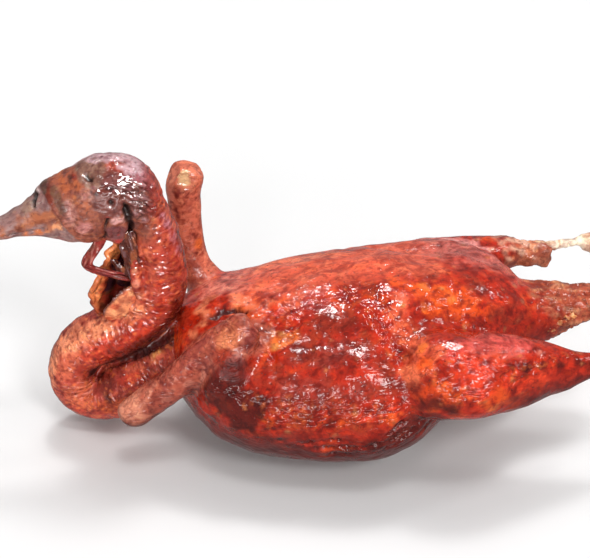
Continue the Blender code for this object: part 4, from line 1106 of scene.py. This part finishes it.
# ---------------------------------------------------------------- shank bones
# The shanks, bared when the feet were taken off: a thin cream bone that ends in a two-lobed joint, stained
# where it leaves the meat. Each is a run of ovals grown into one skin with a cleft pressed into its end.
NEAR_SHANK = [
    (12.4, -5.7, 7.2, 0.38, 0.38), (13.4, -5.6, 7.2, 0.33, 0.33), (14.8, -5.5, 7.15, 0.28, 0.28),
    (15.5, -5.45, 7.1, 0.4, 0.38), (16, -5.4, 7.05, 0.62, 0.56), (16.5, -5.4, 7, 0.6, 0.54),
    (16.8, -5.4, 7, 0.3, 0.26),
]
FAR_SHANK = [
    (12.2, 6.1, 8.15, 0.36, 0.36), (13.2, 6.2, 8.15, 0.32, 0.32), (14.9, 6.35, 8.2, 0.27, 0.27),
    (15.4, 6.45, 8.15, 0.4, 0.42), (15.9, 6.5, 8, 0.68, 0.66), (16.5, 6.5, 7.9, 0.64, 0.62),
    (16.85, 6.5, 7.85, 0.3, 0.28),
]
BONE_CELL = 0.06
BONE = (0.92, 0.78, 0.58)
KNUCKLE = (0.66, 0.38, 0.24)
BONE_STAIN = (0.60, 0.26, 0.14)
JOINT_UNDERSIDE_PINK = (0.55, 0.25, 0.20)

points, quads, out = skin_over(BONE_CELL, 3, [carried(NEAR_SHANK, 24), carried(FAR_SHANK, 24)])
on_near = points[:, 1] < 0
at_joint = step(points[:, 0], 15.2, 15.8)
cleft = np.exp(-(((points[:, 1] + np.where(on_near, 5.4, -6.5)) / 0.16) ** 2)) * at_joint
points += out * (0.025 * ripples(points, 0.5, 51) - 0.14 * cleft)[:, None]
grain = ripples(points, 0.4, 52)
below = np.where(on_near, 7.05, 7.75) - points[:, 2]
paint = layered(
    BONE,
    (KNUCKLE, 0.85 * at_joint),
    (BONE_STAIN, 0.8 * step(13.9 - points[:, 0] + 0.3 * grain, 0, 0.8)),
    # pinker and darker on the underside of the joint
    (JOINT_UNDERSIDE_PINK, 0.7 * at_joint * step(below + 0.3 * grain, 0.0, 0.4)),
    # darker in the cleft between the joint's lobes
    (BONE_STAIN, 0.7 * at_joint * step(cleft + 0.2 * grain, 0.4, 0.9)),
)
piece("shank_bones", points, quads, glazed_skin("bone", 0.25), "bone", paint=paint, dull=0.7)

# ---------------------------------------------------------------- windpipe
# The windpipe hangs out of the cut under the head with its gullet beside it, bends at its slack and goes back
# into the neck. It is a ringed tube of gristle, the gullet a flat red strap: ovals carried along two lines.
WINDPIPE = [
    (-15.8, 1, 15.2, 0.24, 0.24), (-16.3, 1, 14.1, 0.24, 0.24), (-16.95, 1, 13, 0.27, 0.25),
    (-16.3, 1, 12.35, 0.24, 0.2), (-15.3, 1, 11.95, 0.2, 0.17), (-14.3, 1.1, 11.5, 0.18, 0.16),
    (-13.3, 1.5, 11.1, 0.17, 0.15),
]
GULLET = [
    (-15.5, 0.9, 15, 0.12, 0.11), (-15.95, 0.85, 14.1, 0.14, 0.11), (-16.6, 0.8, 13.05, 0.15, 0.11),
    (-16, 0.8, 12.55, 0.13, 0.11), (-15, 0.85, 12.2, 0.12, 0.1), (-14, 1.1, 11.75, 0.12, 0.1),
    (-13.3, 1.6, 11.4, 0.12, 0.1),
]

PIPE_CELL = 0.05
AT_THE_BEND = 30  # the sample of the line at which the windpipe turns back
GULLET_RED = (0.30, 0.030, 0.024)
STRAND_PINK = (0.62, 0.24, 0.20)
GRISTLE = (0.26, 0.080, 0.045)
STRAND_DARK = (0.10, 0.010, 0.012)

points, quads, out = skin_over(PIPE_CELL, 2, [carried(WINDPIPE, 24), carried(GULLET, 20)])
path = through([row[:3] for row in WINDPIPE], 14)
nearest = np.argmin([np.linalg.norm(points - row, axis=1) for row in path], axis=0)
on_windpipe = 1 - step(thickness_out(points, WINDPIPE), 1.0, 1.4)
rings = 0.004 * on_windpipe * np.cos(nearest * 1.3)
points += out * (rings + 0.012 * ripples(points, 0.6, 62) - 0.006)[:, None]
down = ripples(drawn_out(points, (0.4, 0, 1), 0.85), 0.16, 61)
back = ripples(drawn_out(points, (1, 0, -0.4), 0.85), 0.16, 64)
strands = np.where(nearest < AT_THE_BEND, down, back)
paint = layered(
    GULLET_RED,
    (STRAND_PINK, 0.8 * step(strands, 0.6, 1.5)),
    (GRISTLE, 0.7 * on_windpipe * step(ripples(points, 0.9, 63), 0.2, 1.2)),
    (STRAND_DARK, 0.7 * step(-strands, 0.6, 1.5)),
)
piece("windpipe", points, quads, glazed_skin("windpipe", 0.3), "windpipe", paint=paint, dull=0.0)

# ---------------------------------------------------------------- torn throat skin
# The skin of the throat, slit and torn loose: a pocket that hangs from the head to the bend of the neck, with
# an orange rim and a dark inside, painted as the shade of its hollow. It is one crumpled sheet that bellies
# out between its rim and the neck.
THROAT_RIM = [
    (-14.7, 1.6, 14.5), (-15.5, 1.5, 13.1), (-16.3, 1.4, 11.8), (-16.75, 1.5, 10.5), (-16.6, 1.7, 9.3),
    (-15.8, 1.9, 8.2),
]
THROAT_ROOT = [
    (-13.2, 2.2, 14), (-13, 2.3, 12.8), (-12.9, 2.4, 11.4), (-13, 2.5, 10.1), (-13.6, 2.5, 9),
    (-14.6, 2.4, 7.9),
]
ROWS_ACROSS = 41
WALL = 0.0026  # how thick the sheet is, in metres
BELLY = np.array([0.0, 1.05, 0.0])
RIM_ORANGE = (1.0, 0.30, 0.10)
UNDER_THE_RIM = (0.66, 0.090, 0.036)
POCKET_SHADE = (0.045, 0.012, 0.018)
LOW_END_RED = (0.30, 0.030, 0.014)
BURNT_PATCH = (0.16, 0.050, 0.020)

rim, root = through(THROAT_RIM, 16), through(THROAT_ROOT, 16)
share = np.linspace(0, 1, ROWS_ACROSS)[None, :, None]
sheet = rim[:, None] * (1 - share) + root[:, None] * share + np.sin(math.pi * share) * BELLY
crumple = ripples(sheet.reshape(-1, 3), 0.8, 71).reshape(sheet.shape[:2])
sheet[:, :, 1] += 0.07 * crumple
torn = ripples(rim, 0.7, 72)
sheet[:, :, 0] += (0.09 * torn)[:, None] * (1 - share[:, :, 0]) ** 3
faces = between_rings(len(sheet), ROWS_ACROSS).reshape(-1, ROWS_ACROSS, 4)[:, :-1].reshape(-1, 4)
points = sheet.reshape(-1, 3)
from_rim = np.broadcast_to(share[:, :, 0], sheet.shape[:2]).ravel() + 0.02 * ripples(points, 0.5, 73)
rim_width = 0.12 + 0.16 * step(points[:, 2], 11.6, 13.0)
paint = layered(
    RIM_ORANGE,
    (UNDER_THE_RIM, step(from_rim, rim_width, rim_width + 0.08)),
    # painted shade inside the hollow of the pocket
    (POCKET_SHADE, step(from_rim, rim_width + 0.06, rim_width + 0.14)),
    (LOW_END_RED, 0.8 * step(9.9 - points[:, 2] + 0.2 * crumple.ravel(), 0.0, 0.6)),
    (BURNT_PATCH, 0.7 * step(ripples(points, 0.6, 74), 0.7, 1.5)),
)
throat_finish = glazed_skin("throat_skin", 0.5)
throat = piece("throat_skin", points, faces, throat_finish, "roast_skin", paint=paint, dull=0.2)
wall = throat.modifiers.new("wall", "SOLIDIFY")
wall.thickness = WALL
wall.offset = 0.0

# ---------------------------------------------------------------- throat strands
# What is left of the throat's muscle: dried, nearly black strands with mauve and amber streaks between the
# torn skin and the neck, and an amber flap of fat over the bend. All are ovals carried along lines.
DRIED_STRANDS = [
    [
        (-14.75, 0.7, 15, 0.16, 0.15), (-14.6, 0.7, 13.9, 0.2, 0.18), (-14.5, 0.8, 12.8, 0.18, 0.17),
        (-14.3, 1, 11.8, 0.14, 0.14),
    ],
    [
        (-14.45, 0.5, 15.3, 0.16, 0.15), (-14.3, 0.5, 14.2, 0.2, 0.18), (-14.15, 0.6, 13.1, 0.2, 0.18),
        (-14.1, 0.9, 12, 0.15, 0.15),
    ],
    [
        (-14.1, 0.4, 15.5, 0.15, 0.15), (-14, 0.4, 14.4, 0.2, 0.18), (-13.85, 0.5, 13.3, 0.18, 0.18),
        (-13.9, 0.8, 12.3, 0.15, 0.15),
    ],
    [
        (-14.2, 1.2, 15.2, 0.6, 0.4), (-14.1, 1.3, 13.8, 0.65, 0.45), (-14, 1.4, 12.5, 0.6, 0.42),
        (-13.8, 1.5, 11.4, 0.3, 0.3),
    ],
    [
        (-15.3, 1.3, 12.9, 0.14, 0.14), (-14.9, 1.1, 12.3, 0.2, 0.2), (-14.3, 1, 12.1, 0.26, 0.24),
        (-13.7, 1, 12.1, 0.24, 0.24),
    ],
    [
        (-15, 1.1, 12.7, 0.13, 0.13), (-14.6, 1, 12.2, 0.18, 0.17), (-14.1, 0.9, 11.6, 0.18, 0.17),
        (-13.8, 0.9, 11, 0.14, 0.14),
    ],
]
AMBER_FLAP = [
    (-13.1, 1.1, 11.3, 0.14, 0.3), (-13.9, 0.8, 10.9, 0.15, 0.6), (-14.5, 0.7, 10.4, 0.16, 0.74),
    (-15, 0.75, 9.8, 0.15, 0.8), (-15.4, 0.95, 9.2, 0.14, 0.75), (-15.6, 1.3, 8.5, 0.12, 0.45),
]

STRAND_CELL = 0.055
WAY_OF_THE_STRANDS = (0.2, 0.1, -1.0)
DRIED_BLACK = (0.13, 0.032, 0.020)
DRIED_MAUVE = (0.24, 0.12, 0.12)
DRIED_AMBER = (0.42, 0.12, 0.045)
FLAP_AMBER = (0.84, 0.29, 0.13)
FLAP_BROWN = (0.70, 0.14, 0.060)

points, quads, out = skin_over(STRAND_CELL, 7, [carried(rows, 24) for rows in DRIED_STRANDS + [AMBER_FLAP]])
on_flap = 1 - step(thickness_out(points, AMBER_FLAP), 1.1, 1.5)
stringy = ripples(drawn_out(points, WAY_OF_THE_STRANDS, 0.85), 0.22, 81)
points += out * ((1 - on_flap) * 0.030 * stringy + 0.012 * ripples(points, 0.6, 82))[:, None]
streaked = ripples(drawn_out(points, WAY_OF_THE_STRANDS, 0.7), 0.5, 83)
paint = layered(
    DRIED_BLACK,
    (DRIED_MAUVE, 0.8 * step(stringy, 0.5, 1.4)),
    (DRIED_AMBER, 0.8 * step(streaked, 0.3, 1.2)),
    (layered(FLAP_AMBER, (FLAP_BROWN, step(ripples(points, 0.9, 84), 0.0, 1.6))), on_flap),
)
piece(
    "throat_strands", points, quads, glazed_skin("throat_strands", 0.6), "roast_skin",
    paint=paint, dull=0.2, shrivelled=0.7 - 0.6 * on_flap,
)

# ---------------------------------------------------------------- tail shreds
# Where the vent was cut open under the tail, the edge of the skin is ragged with shreds and crumbs of browned
# fat. They are small eggs of random size, grown together along the cut.
VENT_EDGE = [(10.8, -1.55, 7.05), (11.4, -1.55, 7.15), (12, -1.35, 7.4), (12.6, -1.1, 7.6), (13.1, -0.9, 7.7)]
SHREDS = 40
SHRED_CELL = 0.05
SHRED_ORANGE = (0.62, 0.22, 0.080)
SHRED_RED = (0.40, 0.050, 0.018)
SHRED_PALE = (0.80, 0.48, 0.24)

rng = np.random.default_rng(91)
edge = through(VENT_EDGE, 40)
middles = edge[rng.integers(0, len(edge), SHREDS)] + rng.normal(0, 1, (SHREDS, 3)) * [0.12, 0.08, 0.10]
halves = rng.uniform(0.06, 0.15, (SHREDS, 3)) * [1.8, 1.0, 1.0]
shreds = [egg(*middle, *half, 9, 12) for middle, half in zip(middles, halves)]
points, quads, out = skin_over(SHRED_CELL, 1, shreds)
grain = ripples(points, 0.4, 92)
points += out * (0.03 * ripples(points, 0.22, 93))[:, None]
paint = layered(
    SHRED_ORANGE,
    (SHRED_RED, step(grain, -0.2, 0.9)),
    (SHRED_PALE, 0.7 * step(-grain, 0.8, 1.8)),
)
piece("tail_shreds", points, quads, thin_skin, "roast_skin", paint=paint, dull=0.3)

# ---------------------------------------------------------------- spice
# Crushed spice and burnt crumbs baked onto the skin: dark flakes about a millimetre across, strewn over the
# top and the sides and pressed into the glaze. Each is a flat double cone with a ragged rim.
FLAKES = 420
SIDES = 6
BURNT_SPICE = np.array([0.07, 0.022, 0.012])

rng = np.random.default_rng(101)
skin_points = taken_from(carcass.data.vertices, "co", 3) / CM - MIDDLE_OF_BACK
skin_out = taken_from(carcass.data.vertex_normals, "vector", 3)
upper = np.flatnonzero(skin_out[:, 2] > -0.2)
chosen = rng.choice(upper, FLAKES, replace=False)
middle, up = skin_points[chosen], skin_out[chosen]
side = np.cross(up, rng.normal(size=(FLAKES, 3)))
side /= np.linalg.norm(side, axis=1, keepdims=True)
other = np.cross(up, side)
size = rng.uniform(0.028, 0.062, (FLAKES, 1, 1)) * rng.uniform(0.6, 1.3, (FLAKES, SIDES, 1))
angle = (np.arange(SIDES) / SIDES * 2 * math.pi)[None, :, None]
ring = middle[:, None] + size * (np.cos(angle) * side[:, None] + 0.6 * np.sin(angle) * other[:, None])
cap, base = middle + 0.022 * up, middle - 0.03 * up
points = np.concatenate([ring, cap[:, None], base[:, None]], axis=1).reshape(-1, 3)
first = np.arange(FLAKES)[:, None] * (SIDES + 2)
here = np.arange(SIDES)[None, :]
beside = (here + 1) % SIDES
top = np.stack([first + here, first + beside, first + SIDES + 0 * here], axis=2).reshape(-1, 3)
bottom = np.stack([first + beside, first + here, first + SIDES + 1 + 0 * here], axis=2).reshape(-1, 3)
paint = np.repeat(rng.uniform(0.3, 1.0, (FLAKES, 1)) * BURNT_SPICE, SIDES + 2, axis=0)
piece("spice", points, np.vstack([top, bottom]), glazed_skin("spice", 0.3), "spice", paint=paint, dull=0.5)

# ---------------------------------------------------------------- floor, light and camera
# A pale paper floor that the glaze doesn't mirror. Two wide soft windows light the skin without showing in
# it, each paired with a small lamp that does. Other lamps stand in front, at the sides and low down, and four
# bright cards near the bird make the glints on its head, breast, shoulder and neck.
PAPER = (0.77, 0.77, 0.77, 1.0)
BACK = (0.11, 0.36, 0.92)
OVERHEAD = (0.05, -0.25, 0.97)
LAMPS = [  # name, where it stands as seen from the duck, its width in degrees, its power, whether it shows
    ("back_window", BACK, 30, 0.76, False),
    ("back_lamp", BACK, 10, 0.72, True),
    ("overhead_window", OVERHEAD, 30, 0.44, False),
    ("overhead_lamp", OVERHEAD, 9, 0.40, True),
    ("front_lamp", (0.30, -0.68, 0.67), 14, 0.85, True),
    ("left_lamp", (-0.28, -0.80, 0.53), 8, 0.28, True),
    ("right_lamp", (0.63, 0.11, 0.77), 8, 0.30, True),
]
for number, bearing in enumerate((-36, -16, -4, 8, 26)):  # the low ones, in degrees from straight ahead
    bearing = math.radians(bearing)
    LAMPS.append((f"low_lamp_{number}", (math.sin(bearing), -math.cos(bearing), 0.13), 9, 0.33, True))
# For each card: its name, the point that it faces, the way from there to it, its gap, width and height in
# metres, the width of its beam in degrees and its brightness.
CARDS = [
    ("head_card", (-0.112, 0.0, 0.185), (0.38, -0.60, 0.70), 0.12, 0.055, 0.05, 40, 7),
    ("breast_card", (0.040, -0.030, 0.105), (0.07, 0.52, 0.84), 0.30, 0.11, 0.06, 11, 0.30),
    ("shoulder_card", (-0.021, -0.014, 0.104), (-0.13, 0.67, 0.73), 0.30, 0.06, 0.04, 5.5, 0.09),
    ("neck_card", (-0.095, -0.01, 0.12), (0.0, -0.98, 0.20), 0.30, 0.09, 0.05, 26, 2.0),
]

bpy.ops.mesh.primitive_plane_add(size=12.0, location=(0.0, 0.0, -0.0002))
floor = bpy.context.object
floor.name = "floor"
paper = bpy.data.materials.new("paper")
paper.use_nodes = True
paper.node_tree.nodes["Principled BSDF"].inputs["Base Color"].default_value = PAPER
paper.node_tree.nodes["Principled BSDF"].inputs["Roughness"].default_value = 0.8
floor.data.materials.append(paper)
floor.visible_glossy = False  # the glaze mirrors the room, not the paper

for name, towards, spread, power, mirrored in LAMPS:
    lamp = bpy.data.objects.new(name, bpy.data.lights.new(name, "SUN"))
    lamp.data.angle = math.radians(spread)
    lamp.data.energy = power
    lamp.rotation_euler = Vector(towards).to_track_quat("Z", "Y").to_euler()
    lamp.visible_glossy = mirrored
    bpy.context.scene.collection.objects.link(lamp)

for name, faced, towards, gap, wide, high, beam, brightness in CARDS:
    way = Vector(towards).normalized()
    card = bpy.data.objects.new(name, bpy.data.lights.new(name, "AREA"))
    card.data.shape = "RECTANGLE"
    card.data.size, card.data.size_y = wide, high
    card.data.energy = brightness * math.pi * wide * high
    card.data.spread = math.radians(beam)
    card.location = Vector(faced) + way * gap
    card.rotation_euler = way.to_track_quat("Z", "Y").to_euler()
    card.visible_diffuse = card.visible_camera = False  # it only shows in the glaze
    bpy.context.scene.collection.objects.link(card)

room = bpy.data.worlds.new("room")
room.use_nodes = True
room.node_tree.nodes["Background"].inputs["Color"].default_value = (1.0, 1.0, 1.0, 1.0)
room.node_tree.nodes["Background"].inputs["Strength"].default_value = 0.30
bpy.context.scene.world = room
bpy.context.scene.view_settings.view_transform = "Standard"

AZIMUTH, ELEVATION, DISTANCE = math.radians(-8), math.radians(34), 1.15
aim = Vector((-0.0054, 0.0341, 0.0925))
level, rise = math.cos(ELEVATION), math.sin(ELEVATION)
back = Vector((math.sin(AZIMUTH) * level, -math.cos(AZIMUTH) * level, rise))
camera = bpy.data.objects.new("camera", bpy.data.cameras.new("camera"))
camera.data.sensor_width = 36.0
camera.data.lens = 112.3
camera.location = aim + back * DISTANCE
camera.rotation_euler = (-back).to_track_quat("-Z", "Y").to_euler()
bpy.context.scene.collection.objects.link(camera)
bpy.context.scene.camera = camera
